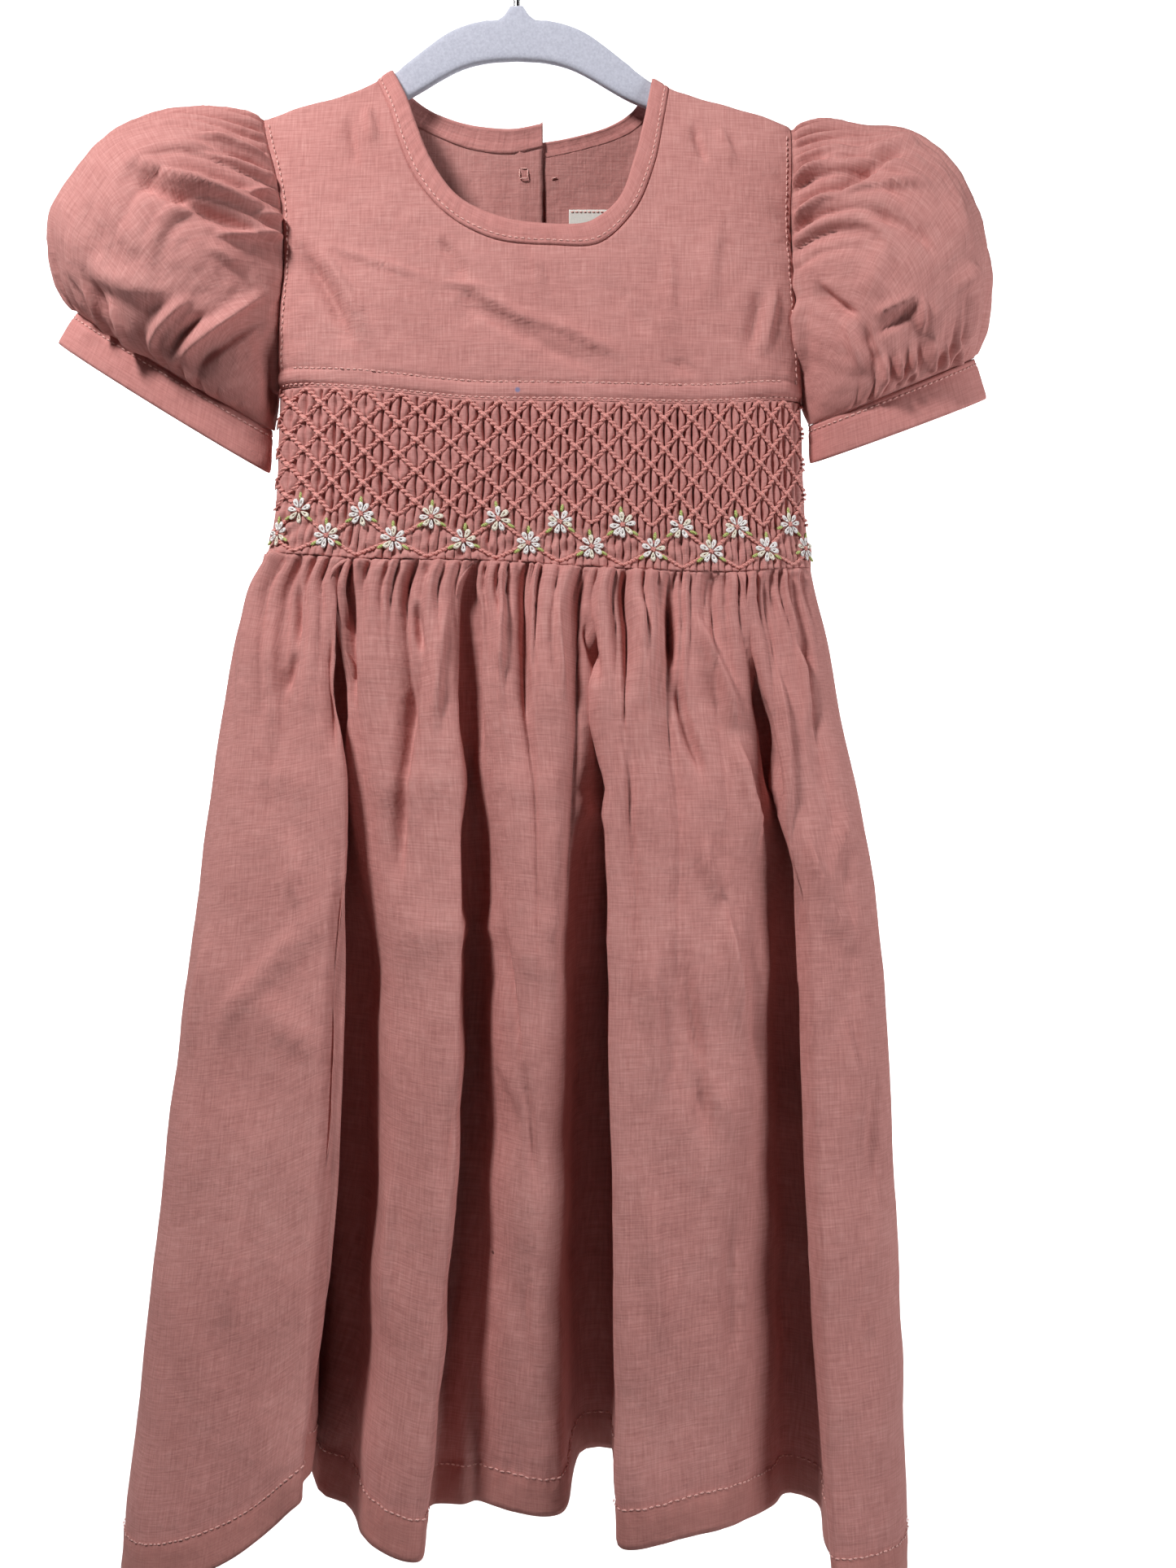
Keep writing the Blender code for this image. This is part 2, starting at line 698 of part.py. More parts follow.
def make_back_binding(side):
    plane = binding_plane(BACK_NECK[side])
    extra = BINDING_EXTRA if side == "left" else 0.0
    place = back_surface(plane, side, extra)
    columns = back_columns()
    columns = columns[columns <= BACK_CORNER + 1e-9] / BACK_CORNER
    cloth_wall(f"back_neck_binding_{side}", place, columns, even(1), BACK, ROSE_TRIM, wall=WALL + extra)


# Smocked panel


def panel_plane(u, v):
    """The panel between the yoke seam and the waist seam, as wide as the body at each height."""
    top = seam_points(yoke_seam_height, u)[..., 1] - SEAM_GAP / 2
    bottom = seam_points(waist_seam_height, u)[..., 1] + SEAM_GAP / 2
    z = top + (bottom - top) * v
    return np.stack([right_edge(z) + (left_edge(z) - right_edge(z)) * u, z], axis=-1)


def smocking_rows():
    """Rows of the panel: even steps through the small diamonds, then through the wide border."""
    small = np.linspace(0, TRELLIS_SHARE, 2 * TRELLIS_ROWS + 1)
    border = np.linspace(TRELLIS_SHARE, 1, 2 * BORDER_ROWS + 1)
    return np.concatenate([small, border[1:]])


def smocking_relief(i, j, u, v):
    """Stitched lines along the diagonals of a diamond lattice, over pleats that stand upright."""
    small_rows = 2 * TRELLIS_ROWS
    small = ((i - j) % 4 == 0) | ((i + j) % 4 == 0)
    down = j - small_rows
    wide = ((down == 0) | (down == 4)) & (i % 8 == 4)
    wide |= ((down == 1) | (down == 3)) & (i % 4 == 2)
    wide |= (down == 2) & (i % 8 == 0)
    on_line = np.where(j <= small_rows, small, wide)
    pleat = PLEAT_HEIGHT * (i % 2)
    edge = (i == 0) | (i == i.max()) | (j == 0) | (j == j.max())
    return np.where(edge, 0.0, np.where(on_line, STITCH_HEIGHT, pleat))


def make_smocking():
    place = lambda u, v: on_body(panel_plane(u, v), FRONT)
    cloth_wall(
        "smocked_front", place, even(COLUMNS_PER_DIAMOND * DIAMONDS), smocking_rows(), FRONT, ROSE_CLOTH,
        smocking_relief, plain_inside=COLUMNS_PER_DIAMOND,
    )


# Skirt


def fold_curves(folds):
    """Curves along the cloth for each column of a fold table, by the share of cloth at the hem."""
    rows = np.asarray(folds, float)
    width = SKIRT_SIDES[-1][2] - SKIRT_SIDES[-1][1]
    steps = np.hypot(np.diff(rows[:, 2]) * width, np.diff(rows[:, 4]))
    cloth = np.concatenate([[0], np.cumsum(steps)]) / steps.sum()
    return [smooth(cloth, rows[:, k]) for k in range(rows.shape[1])]


def between_levels(waist, mid, hem, share):
    """A value that passes through its waist, middle and hem values as share goes from 0 to 1."""
    m = MID_SHARE
    return (
        waist * (share - m) * (share - 1) / m
        + mid * share * (share - 1) / (m * (m - 1))
        + hem * share * (share - m) / (1 - m)
    )


def skirt_surface(folds, side):
    """The skirt's outer surface: gathered flat at the waist and opening into folds at the hem."""
    at_waist, at_mid, at_hem, deep_mid, deep_hem, hem_height = fold_curves(folds)

    def place(u, v):
        share = between_levels(at_waist(u), at_mid(u), at_hem(u), v)
        waist = seam_points(waist_seam_height, at_waist(u))
        waist_x, waist_z = waist[..., 0], waist[..., 1] - SEAM_GAP / 2
        z = waist_z + (hem_height(u) - waist_z) * v
        drop = v * SKIRT_LENGTH
        low, high = skirt_right(drop), skirt_left(drop)
        x = low + (high - low) * share
        waist_depth = body_depth(waist_x, waist_z)
        depth = np.maximum(between_levels(waist_depth, deep_mid(u), deep_hem(u), v), SEAM_GAP / 2)
        return np.stack([x, side * depth, z], axis=-1)

    return place


def gathers(i, j, u, v):
    """Small pleats in every second column, deepest below the waist."""
    fade = np.exp(-v * SKIRT_LENGTH / GATHER_REACH)
    away_from_seams = np.minimum(1, np.minimum(u, 1 - u) / GATHER_SEAM_SHARE)
    return GATHER_HEIGHT * fade * away_from_seams * np.where(i % 2 == 1, 1, -1) * (j > 0)


def make_skirt(name, folds, grid, side):
    rows = np.sort(np.append(even(grid[1]) ** SKIRT_ROW_POWER, SKIRT_TOP_ROW))
    cloth_wall(name, skirt_surface(folds, side), even(grid[0]), rows, side, ROSE_CLOTH, gathers)


# Sleeves and cuffs


def sleeve_surface(side):
    """A puff that fans out from the underarm, between the armhole and the top of the cuff."""
    sizes = SLEEVES[side]
    outer_end = outline(sizes["outline"])
    inner_start, inner_end = (np.array(p) for p in sizes["inner"])
    low, high = UNDERARM_Z[side], tip_height(side)
    outwards = 1 if side == "left" else -1

    def place(u, v):
        around = 2 * np.pi * u
        along = 0.5 * (1 - np.cos(around))
        inner = inner_start + (inner_end - inner_start) * v[..., None]
        flat = inner + (outer_end(v) - inner) * along[..., None]
        armhole_z = low + (high - low) * along
        armhole_x = side_edge(side, armhole_z) + outwards * SEAM_GAP
        armhole = np.stack([armhole_x, armhole_z - SEAM_GAP / 2], axis=-1)
        straight = inner_start + (outer_end(0.0) - inner_start) * along[..., None]
        flat = flat + (armhole - straight) * ((1 - v) ** 3)[..., None]
        half = ARMHOLE_HALF_DEPTH + (sizes["cuff_half_depth"] - ARMHOLE_HALF_DEPTH) * v
        fullness = np.sin(np.pi * v) ** PUFF_SQUARENESS * (PUFF_AT_UNDERARM + PUFF_TOWARDS_TOP * along)
        half = half + sizes["puff_half_depth"] * fullness
        y = -half * np.sin(around)
        return np.stack([flat[..., 0], y, flat[..., 1] + CUFF_TILT * y * v**3], axis=-1)

    return place


def sleeve_gathers(i, j, u, v):
    """Pleats in every second column: at the head of the sleeve, and above the cuff."""
    along = 0.5 * (1 - np.cos(2 * np.pi * u))
    upper_half = eased((along - HEAD_GATHER_START) * 4)
    head = HEAD_GATHER_HEIGHT * np.exp(-v / HEAD_GATHER_REACH) * upper_half
    wrist = WRIST_GATHER_HEIGHT * np.exp(-(1 - v) / WRIST_GATHER_REACH) * np.sin(np.pi * along)
    return (head + wrist) * np.where(i % 2 == 1, 1, -1) * (v > 0) * (v < 1)


def cuff_surface(side):
    sizes = SLEEVES[side]
    inner_top, inner_bottom = (np.array(p) for p in sizes["cuff_inner"])
    outer_top, outer_bottom = (np.array(p) for p in sizes["cuff_outer"])
    half = sizes["cuff_half_depth"] + CUFF_EXTRA

    def place(u, v):
        around = 2 * np.pi * u
        along = 0.5 * (1 - np.cos(around))[..., None]
        inner = inner_top + (inner_bottom - inner_top) * v[..., None]
        outer = outer_top + (outer_bottom - outer_top) * v[..., None]
        flat = inner + (outer - inner) * along
        y = -half * np.sin(around)
        return np.stack([flat[..., 0], y, flat[..., 1] + CUFF_TILT * y], axis=-1)

    return place


def make_sleeve(side):
    tube_wall(f"sleeve_{side}", sleeve_surface(side), SLEEVE_GRID, ROSE_CLOTH, sleeve_gathers)
    tube_wall(f"cuff_{side}", cuff_surface(side), CUFF_GRID, ROSE_TRIM, wall=WALL + CUFF_EXTRA)


# Hanger, buttons and label


def hanger_stations():
    """Places along the hanger where its section changes, the same on both sides."""
    near = [0.0, 2.4, 3.6, 5.0, 6.6, 9.0, 16.0, 26.0, 35.0, 44.0, 55.0, 62.0, 69.0, 77.0]
    far = [90.0, 105.0, 120.0, 130.0, 139.0, 144.5, 147.8, HANGER_HALF_SPAN]
    half = near + far
    return [-x for x in reversed(half[1:])] + half


def make_hanger():
    (neck,) = columns_of(HANGER_NECK, 1)
    (bottom,) = columns_of(HANGER_UNDERSIDE, 1)

    def top(x):
        return neck(x) if x < SHOULDER[0][0] else shoulder_height(x) - WALL - HANGER_CLEARANCE

    points, faces = [], []
    stations = hanger_stations()
    corners = len(HANGER_SECTION)
    for x in stations:
        end_round = min(1.0, (HANGER_HALF_SPAN + HANGER_TIP_FLAT - abs(x)) / HANGER_TIP_ROUND) ** 0.5
        high, low = float(top(abs(x))), float(bottom(abs(x)))
        half_height = (high - low) / 2 * end_round
        half_thick = HANGER_HALF_THICKNESS * (HANGER_TIP_THICKNESS + (1 - HANGER_TIP_THICKNESS) * end_round)
        chamfer = min(HANGER_CHAMFER, half_height * 0.6)
        for y, z in HANGER_SECTION:
            inset = chamfer if abs(y) == 1 else 0.0
            points.append((x, y * half_thick, (high + low) / 2 + z * (half_height - inset)))
    for k in range(len(stations) - 1):
        for n in range(corners):
            a, b = corners * k + n, corners * k + (n + 1) % corners
            faces.append((a, b, b + corners, a + corners))
    last = corners * (len(stations) - 1)
    faces.append(tuple(reversed(range(corners))))
    faces.append(tuple(range(last, last + corners)))
    hanger = facing_out(mesh_object("hanger", points, faces, GREY_FLOCK, roughness=0.95))
    socket = make_socket()
    cut = hanger.modifiers.new("hook socket", "BOOLEAN")
    cut.operation = "DIFFERENCE"
    cut.object = socket


def make_socket():
    """The blind hole in the hanger's neck that the hook's shank sits in."""
    work = bmesh.new()
    radius = WIRE_RADIUS + SEAM_GAP
    depth = SOCKET_DEPTH + 4
    bmesh.ops.create_cone(
        work, cap_ends=True, segments=12, radius1=radius * MM, radius2=radius * MM, depth=depth * MM
    )
    mesh = bpy.data.meshes.new("hook_socket")
    work.to_mesh(mesh)
    work.free()
    cutter = bpy.data.objects.new("hook_socket", mesh)
    cutter.location = (0, 0, (HANGER_NECK[0][1] - SOCKET_DEPTH + depth / 2) * MM)
    cutter.hide_render = True
    cutter.display_type = "WIRE"
    bpy.context.scene.collection.objects.link(cutter)
    return cutter


def hook_route():
    """Centreline of the wire: up the shank, out to one side and over the rail."""
    radius = HOOK_INNER_RADIUS + WIRE_RADIUS
    centre_z = -HOOK_INNER_RADIUS
    foot = HANGER_NECK[0][1] - SOCKET_DEPTH + SEAM_GAP
    start_angle, end_angle = (math.radians(angle) for angle in HOOK_ANGLES)
    shank = [(0.0, foot + (HOOK_SHANK_TOP - foot) * k / 4) for k in range(4)]
    arc_start = (radius * math.cos(start_angle), centre_z + radius * math.sin(start_angle))
    back_x, back_z = HOOK_BEND_PULL * math.sin(start_angle), HOOK_BEND_PULL * math.cos(start_angle)
    handles = (
        (0.0, HOOK_SHANK_TOP),
        (0.0, HOOK_SHANK_TOP + HOOK_BEND_PULL),
        (arc_start[0] + back_x, arc_start[1] - back_z),
        arc_start,
    )
    bend = []
    for k in range(6):
        t = k / 6
        weights = ((1 - t) ** 3, 3 * t * (1 - t) ** 2, 3 * t * t * (1 - t), t**3)
        bend.append(tuple(sum(w * h[axis] for w, h in zip(weights, handles)) for axis in (0, 1)))
    arc = [
        (radius * math.cos(a), centre_z + radius * math.sin(a))
        for a in np.linspace(start_angle, end_angle, 22)
    ]
    return shank + bend + arc


def make_hook():
    curve = bpy.data.curves.new("hook", "CURVE")
    curve.dimensions = "3D"
    curve.bevel_depth = WIRE_RADIUS * MM
    curve.bevel_resolution = 2
    curve.use_fill_caps = True
    route = hook_route()
    spline = curve.splines.new("POLY")
    spline.points.add(len(route) - 1)
    for point, (x, z) in zip(spline.points, route):
        point.co = (x * MM, 0, z * MM, 1)
    hook = bpy.data.objects.new("hook", curve)
    curve.materials.append(finish("hook", STEEL, 0.25, 1.0))
    bpy.context.scene.collection.objects.link(hook)


def make_button(number, height):
    """A flat button with a raised rim and four holes, on the outside of the back opening."""
    work = bmesh.new()
    bmesh.ops.create_cone(
        work, cap_ends=True, segments=16, radius1=BUTTON_RADIUS * MM, radius2=BUTTON_RADIUS * MM,
        depth=BUTTON_THICKNESS * MM,
    )
    top = max(work.faces, key=lambda face: face.calc_center_median().z)
    bmesh.ops.inset_region(work, faces=[top], thickness=BUTTON_RIM * MM)
    bmesh.ops.translate(work, verts=top.verts, vec=(0, 0, -BUTTON_DISH * MM))
    mesh = bpy.data.meshes.new(f"button_{number}")
    work.to_mesh(mesh)
    work.free()
    mesh.materials.append(finish(f"button_{number}", ROSE_RESIN, 0.35, 0.0))
    button = bpy.data.objects.new(f"button_{number}", mesh)
    above, below = height + BUTTON_RADIUS, height - BUTTON_RADIUS
    depths = body_depth(np.full(3, BUTTON_X), np.array([above, height, below]))
    lean = math.atan2(depths[2] - depths[0], above - below)
    away = BUTTON_STANDOFF + BUTTON_THICKNESS / 2
    depth = depths[1] + away * math.cos(lean)
    button.location = (BUTTON_X * MM, depth * MM, (height + away * math.sin(lean)) * MM)
    button.rotation_euler = (lean - math.radians(90), 0, 0)
    bpy.context.scene.collection.objects.link(button)
    holes = make_button_holes(number, button)
    cut = button.modifiers.new("thread holes", "BOOLEAN")
    cut.operation = "DIFFERENCE"
    cut.object = holes


def make_button_holes(number, button):
    work = bmesh.new()
    radius, depth = BUTTON_HOLE_RADIUS * MM, 2 * BUTTON_THICKNESS * MM
    for across in (-BUTTON_HOLE_OFFSET, BUTTON_HOLE_OFFSET):
        for up in (-BUTTON_HOLE_OFFSET, BUTTON_HOLE_OFFSET):
            made = bmesh.ops.create_cone(
                work, cap_ends=True, segments=5, radius1=radius, radius2=radius, depth=depth
            )
            bmesh.ops.translate(work, verts=made["verts"], vec=(across * MM, up * MM, 0))
    mesh = bpy.data.meshes.new(f"button_holes_{number}")
    work.to_mesh(mesh)
    work.free()
    holes = bpy.data.objects.new(f"button_holes_{number}", mesh)
    holes.location = button.location
    holes.rotation_euler = button.rotation_euler
    holes.hide_render = True
    holes.display_type = "WIRE"
    bpy.context.scene.collection.objects.link(holes)
    return holes


def make_label():
    """A bare woven label on the inside of the left back, from that panel's own points."""
    left, top = LABEL_CORNER
    width, height = LABEL_SIZE
    inwards = WALL + SEAM_GAP

    def place(u, v):
        plane = np.stack([left + width * u, top - height * v], axis=-1)
        return on_body(plane, BACK, inwards=inwards)

    cloth_wall("label", place, even(4), even(2), BACK, WHITE_TAPE, wall=LABEL_WALL)


def main():
    for old in list(bpy.data.objects):
        bpy.data.objects.remove(old, do_unlink=True)
    make_hanger()
    make_hook()
    make_front_yoke()
    make_front_binding()
    for side in ("right", "left"):
        make_back(side)
        make_back_binding(side)
        make_sleeve(side)
    make_smocking()
    make_skirt("front_skirt", FRONT_FOLDS, FRONT_SKIRT_GRID, FRONT)
    make_skirt("back_skirt", BACK_FOLDS, BACK_SKIRT_GRID, BACK)
    for number, height in enumerate(BUTTON_HEIGHTS, start=1):
        make_button(number, height)
    make_label()


main()
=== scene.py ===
"""The looks of a child's smocked cotton dress hanging on a flocked hanger.

Every cloth piece is a grid laid over the same surface as its solid, in millimetres, with its
gathers, pleats and creases added along the normal, and then made metres.
"""

import math

import bmesh
import bpy
import numpy as np
from mathutils import Matrix, Vector


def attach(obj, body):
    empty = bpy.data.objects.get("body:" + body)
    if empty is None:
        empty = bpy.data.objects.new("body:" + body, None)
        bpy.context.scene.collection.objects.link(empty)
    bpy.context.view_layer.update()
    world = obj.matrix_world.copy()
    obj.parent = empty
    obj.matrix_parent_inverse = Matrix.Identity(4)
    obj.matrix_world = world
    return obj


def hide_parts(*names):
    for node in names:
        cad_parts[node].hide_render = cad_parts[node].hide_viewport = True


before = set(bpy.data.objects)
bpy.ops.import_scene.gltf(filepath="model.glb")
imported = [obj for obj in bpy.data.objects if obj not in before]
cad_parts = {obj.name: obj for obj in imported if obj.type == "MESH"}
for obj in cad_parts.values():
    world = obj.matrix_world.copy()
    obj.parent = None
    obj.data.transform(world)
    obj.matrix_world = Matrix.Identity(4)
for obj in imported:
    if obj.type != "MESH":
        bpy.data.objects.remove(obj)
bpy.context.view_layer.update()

MM = 0.001
FRONT, BACK = -1, 1  # the sides of the dress, as directions along Y
# Cloth and seams
WALL = 1.1  # thickness of a single layer of cloth
SEAM_GAP = 0.3  # clear gap between two pieces at a seam
BINDING_EXTRA = 0.5  # how far the folded neck binding stands proud of the yoke
BINDING_SHARE = 0.95  # share of the way from neck edge to seam that the binding covers
CUFF_EXTRA = 0.6  # how far the doubled cuff stands proud of the sleeve's end
# Body of the dress
SHOULDER_BEND = 5.0  # radius of the cloth where it bends over the hanger
CHEST_FULLNESS = 17.0  # how much further out the cloth hangs at the chest
CHEST_REACH = 45.0  # distance below the shoulder over which it gets there
DEPTH_PER_DROP = 0.03  # further depth for each millimetre below the shoulder
SIDE_SQUARENESS = 6.0  # power of the cross-section: higher has flatter fronts and tighter sides
ARMHOLE_HALF_DEPTH = 14.0
TIP_REACH = 25.0  # distance below the shoulder line over which the armhole's top shapes the cloth
YOKE_CORNER = 10 / 32  # share of the yoke's outer edge that is one armhole
BACK_CORNER = 8 / 14  # share of the back's top edge that is neckline
# Smocking: diamonds of stitching over upright pleats
DIAMONDS = 18
# Shoulder line of the cloth, over the hanger, the same on both sides
SHOULDER = (
    # distance from the hook's axis, height
    (60, -91.0),
    (69, -97.5),
    (77, -101.8),
    (90, -106.3),
    (105, -110.5),
    (120, -115.2),
    (130, -118.7),
    (140, -123.4),
    (150, -130.0),
)
# Side edges of the body, armholes above and side seams below
SIDES = (
    # height, right edge, left edge
    (-345, -127.9, 150.4),
    (-327, -124.2, 147.9),
    (-307, -122.5, 146.7),
    (-282, -121.7, 145.8),
    (-260, -120.8, 145.0),
    (-236, -119.6, 142.9),
    (-215, -117.9, 141.0),
    (-190, -116.3, 138.9),
    (-169, -117.5, 138.5),
    (-150, -120.8, 139.1),
    (-132, -125.8, 139.5),
    (-117, -129.2, 139.8),
)
TIP_X = {"right": -129.2, "left": 139.8}
UNDERARM_Z = {"right": -258.5, "left": -265.0}
# Front neckline: the binding's free edge and its seam, from the right shoulder to the left
FRONT_NECK = (
    # edge across, edge height, seam across, seam height
    (-63.5, -93.3, -71.0, -98.6),
    (-55.0, -111.0, -63.3, -117.0),
    (-49.5, -127.0, -57.5, -136.0),
    (-42.0, -145.5, -49.5, -154.5),
    (-28.5, -164.5, -35.0, -172.5),
    (-8.0, -175.0, -11.0, -186.0),
    (16.0, -178.8, 17.0, -189.2),
    (38.0, -177.4, 42.0, -188.0),
    (50.5, -167.5, 57.5, -173.8),
    (59.5, -145.0, 69.0, -147.5),
    (64.5, -124.0, 74.0, -122.5),
    (69.3, -97.7, 77.4, -102.0),
)
# Back neckline, from the centre opening to each shoulder
BACK_NECK = {
    "right": (
        # edge across, edge height, seam across, seam height
        (13.0, -115.5, 13.0, -126.5),
        (-2.0, -118.0, -4.0, -129.7),
        (-18.0, -117.0, -20.0, -128.2),
        (-34.4, -113.3, -38.5, -122.5),
        (-45.0, -109.3, -50.0, -117.5),
        (-54.0, -103.5, -60.5, -111.5),
        (-63.5, -93.3, -71.0, -98.6),
    ),
    "left": (
        # edge across, edge height, seam across, seam height
        (-8.0, -125.5, -8.0, -133.5),
        (15.0, -123.6, 16.6, -131.0),
        (25.0, -122.0, 25.0, -129.5),
        (36.0, -119.6, 36.0, -127.0),
        (46.4, -116.6, 47.0, -124.0),
        (58.0, -110.5, 61.0, -118.0),
        (69.3, -97.7, 77.4, -102.0),
    ),
}
PLACKET_LAYER = WALL + SEAM_GAP + 0.1  # step inwards of the under layer of the back opening
PLACKET_EDGE = {"right": 13.0, "left": -8.0}
PLACKET_FADE = 24.0  # distance over which the under layer comes back out
YOKE_SEAM = (
    # across, height
    (-121, -258.5),
    (-83, -261.5),
    (-25, -267.5),
    (36, -268.5),
    (90, -269.5),
    (145, -265.0),
)
WAIST_SEAM = (
    # across, height
    (-128, -341.5),
    (-85, -346.0),
    (-10, -348.0),
    (60, -352.0),
    (110, -353.0),
    (151, -348.5),
)
# Puff sleeves: the outline from the shoulder tip round to the cuff, seen from the front
SLEEVES = {
    "right": {
        "outline": (
            (-129.5, -117.9), (-160.0, -116.3), (-179.0, -118.2), (-194.0, -123.0), (-208.0, -131.5),
            (-219.5, -143.3), (-230.5, -157.3), (-237.3, -173.3), (-236.5, -190.0), (-232.5, -205.0),
            (-225.0, -216.3),
        ),
        "inner": ((-121.4, -258.9), (-124.5, -277.2)),
        "puff_half_depth": 34.0,
        "cuff_half_depth": 16.0,
        "cuff_inner": ((-124.6, -277.6), (-126.0, -299.0)),
        "cuff_outer": ((-225.3, -216.6), (-234.8, -232.0)),
    },
    "left": {
        "outline": (
            (140.1, -123.3), (152.0, -122.5), (177.0, -125.6), (197.0, -127.0), (210.5, -134.3),
            (222.5, -146.2), (231.3, -162.3), (237.0, -182.3), (240.5, -203.0), (238.5, -225.0),
            (233.8, -240.0),
        ),
        "inner": ((145.6, -265.4), (149.0, -274.6)),
        "puff_half_depth": 30.0,
        "cuff_half_depth": 25.0,
        "cuff_inner": ((149.1, -275.0), (149.8, -294.0)),
        "cuff_outer": ((234.2, -240.3), (240.4, -260.5)),
    },
}
CUFF_TILT = 0.2  # rise of the cuff towards the back, for each millimetre
PUFF_SQUARENESS = 0.75  # power of the puff's fullness along the sleeve: lower is fuller near its ends
PUFF_AT_UNDERARM = 0.55  # share of the puff's half depth at the underarm
PUFF_TOWARDS_TOP = 0.75  # and what comes to it by the top of the sleeve
# Skirt outline on each side, by the distance below the waist
SKIRT_SIDES = (
    # drop, right edge, left edge
    (0, -127.9, 150.4),
    (12, -135.5, 153.0),
    (33, -141.5, 158.5),
    (75, -149.0, 166.0),
    (116, -153.5, 175.5),
    (179, -160.0, 184.5),
    (262, -168.5, 189.0),
    (345, -176.5, 192.0),
    (480, -190.0, 195.0),
)
SKIRT_LENGTH = 480.0
MID_SHARE = 0.36  # how far down the middle column of the fold tables is taken
# Folds of the skirt, from the right side seam to the left. Shares run across the width, from 0 to 1.
FRONT_FOLDS = (
    # share at waist, at mid, at hem; depth at mid, at hem; hem height
    (0.000, 0.000, 0.000, 0.2, 0.2, -832),
    (0.012, 0.004, 0.000, 24, 42, -838),
    (0.036, 0.060, 0.070, 45, 78, -829),
    (0.100, 0.158, 0.172, 53, 88, -810),
    (0.150, 0.228, 0.243, 57, 95, -785),
    (0.172, 0.213, 0.216, 15, 17, -794),
    (0.196, 0.286, 0.305, 46, 76, -807),
    (0.370, 0.396, 0.386, 55, 87, -813),
    (0.388, 0.408, 0.394, 24, 50, -804),
    (0.410, 0.452, 0.436, 49, 56, -801),
    (0.590, 0.552, 0.556, 51, 60, -804),
    (0.616, 0.604, 0.612, 13, 16, -793),
    (0.634, 0.612, 0.634, 57, 87, -808),
    (0.800, 0.752, 0.735, 53, 78, -803),
    (0.862, 0.880, 0.888, 14, 16, -820),
    (0.900, 0.868, 0.884, 49, 77, -836),
    (0.968, 0.956, 0.966, 34, 60, -840),
    (0.986, 0.992, 0.996, 17, 34, -842),
    (1.000, 1.000, 1.000, 0.2, 0.2, -838),
)
BACK_FOLDS = (
    # share at waist, at mid, at hem; depth at mid, at hem; hem height
    (0.000, 0.000, 0.000, 0.2, 0.2, -832),
    (0.014, 0.006, 0.010, 22, 36, -836),
    (0.070, 0.105, 0.115, 47, 76, -832),
    (0.180, 0.198, 0.205, 52, 84, -828),
    (0.216, 0.232, 0.222, 18, 22, -826),
    (0.290, 0.296, 0.280, 50, 78, -829),
    (0.400, 0.388, 0.392, 52, 86, -831),
    (0.436, 0.430, 0.436, 17, 18, -829),
    (0.520, 0.500, 0.500, 49, 74, -831),
    (0.610, 0.608, 0.622, 53, 88, -830),
    (0.648, 0.650, 0.650, 18, 20, -828),
    (0.730, 0.730, 0.716, 50, 80, -831),
    (0.830, 0.826, 0.836, 51, 82, -832),
    (0.872, 0.860, 0.856, 19, 24, -832),
    (0.936, 0.930, 0.934, 42, 66, -836),
    (0.984, 0.988, 0.988, 20, 34, -838),
    (1.000, 1.000, 1.000, 0.2, 0.2, -838),
)
# Hanger: a flat flocked arm with a wire hook
HANGER_HALF_THICKNESS = 2.8
HANGER_CLEARANCE = 0.9  # between the hanger's top and the cloth that hangs on it
HANGER_NECK = (
    # distance from the axis, height of the top edge, between the hook and the dress
    (0.0, -60.0),
    (3.4, -60.4),
    (5.2, -63.6),
    (8.0, -66.4),
    (16.0, -67.6),
    (26.0, -70.0),
    (35.0, -73.8),
    (44.0, -80.0),
    (55.0, -88.6),
    (60.0, -92.5),
)
HANGER_UNDERSIDE = (
    # distance from the axis, height of the lower edge
    (0, -88.0),
    (16, -89.2),
    (28, -92.4),
    (38, -97.4),
    (48, -103.4),
    (57, -108.4),
    (66, -112.2),
    (80, -118.2),
    (100, -124.0),
    (120, -129.4),
    (140, -135.8),
    (149, -137.6),
)
HANGER_HALF_SPAN = 149.0
WIRE_RADIUS = 1.6
HOOK_INNER_RADIUS = 17.0
HOOK_ANGLES = (-48.0, 205.0)  # where the round part of the hook starts and ends, in degrees
HOOK_SHANK_TOP = -47.0  # height at which the straight shank ends
HOOK_BEND_PULL = 9.0  # how gently the shank bends over to the round part
SOCKET_DEPTH = 13.0
# Back buttons
BUTTON_RADIUS = 5.5
BUTTON_THICKNESS = 2.2
BUTTON_STANDOFF = 0.5  # from the cloth's surface under the button's middle to the button
BUTTON_HEIGHTS = (-140.0, -205.0, -270.0)
BUTTON_X = 3.0
# Woven label inside the back neck
LABEL_SIZE = (24.0, 17.0)
LABEL_CORNER = (26.5, -157.5)

# Finer form of the cloth, for the looks alone
CLOTH = 0.55  # thickness of the cloth that shows
BINDING_WALL = 1.3  # folded neck binding
BINDING_REACH = 1.09  # how far the binding's lower edge laps over the seam, as a share of its width
CUFF_WALL = 1.4  # doubled cuff
YOKE_STITCH_ROWS = (1.6, 9.6)  # heights of the two rows of stitching above the yoke seam
BINDING_STITCH = 0.86  # share of the binding's width at which it is sewn down
CUFF_STITCH = 0.13
ARMHOLE_STITCH = 0.962  # share of the yoke's depth at which the armhole is stitched
PLACKET_STITCH = 12.0  # distance of the stitching from the edge of the back opening
HEM_DEPTH = 19.0  # height of the hem's stitching above the edge

CREASE_SPREAD = 0.7  # how wide the creases are made, as a share of the widths in the tables
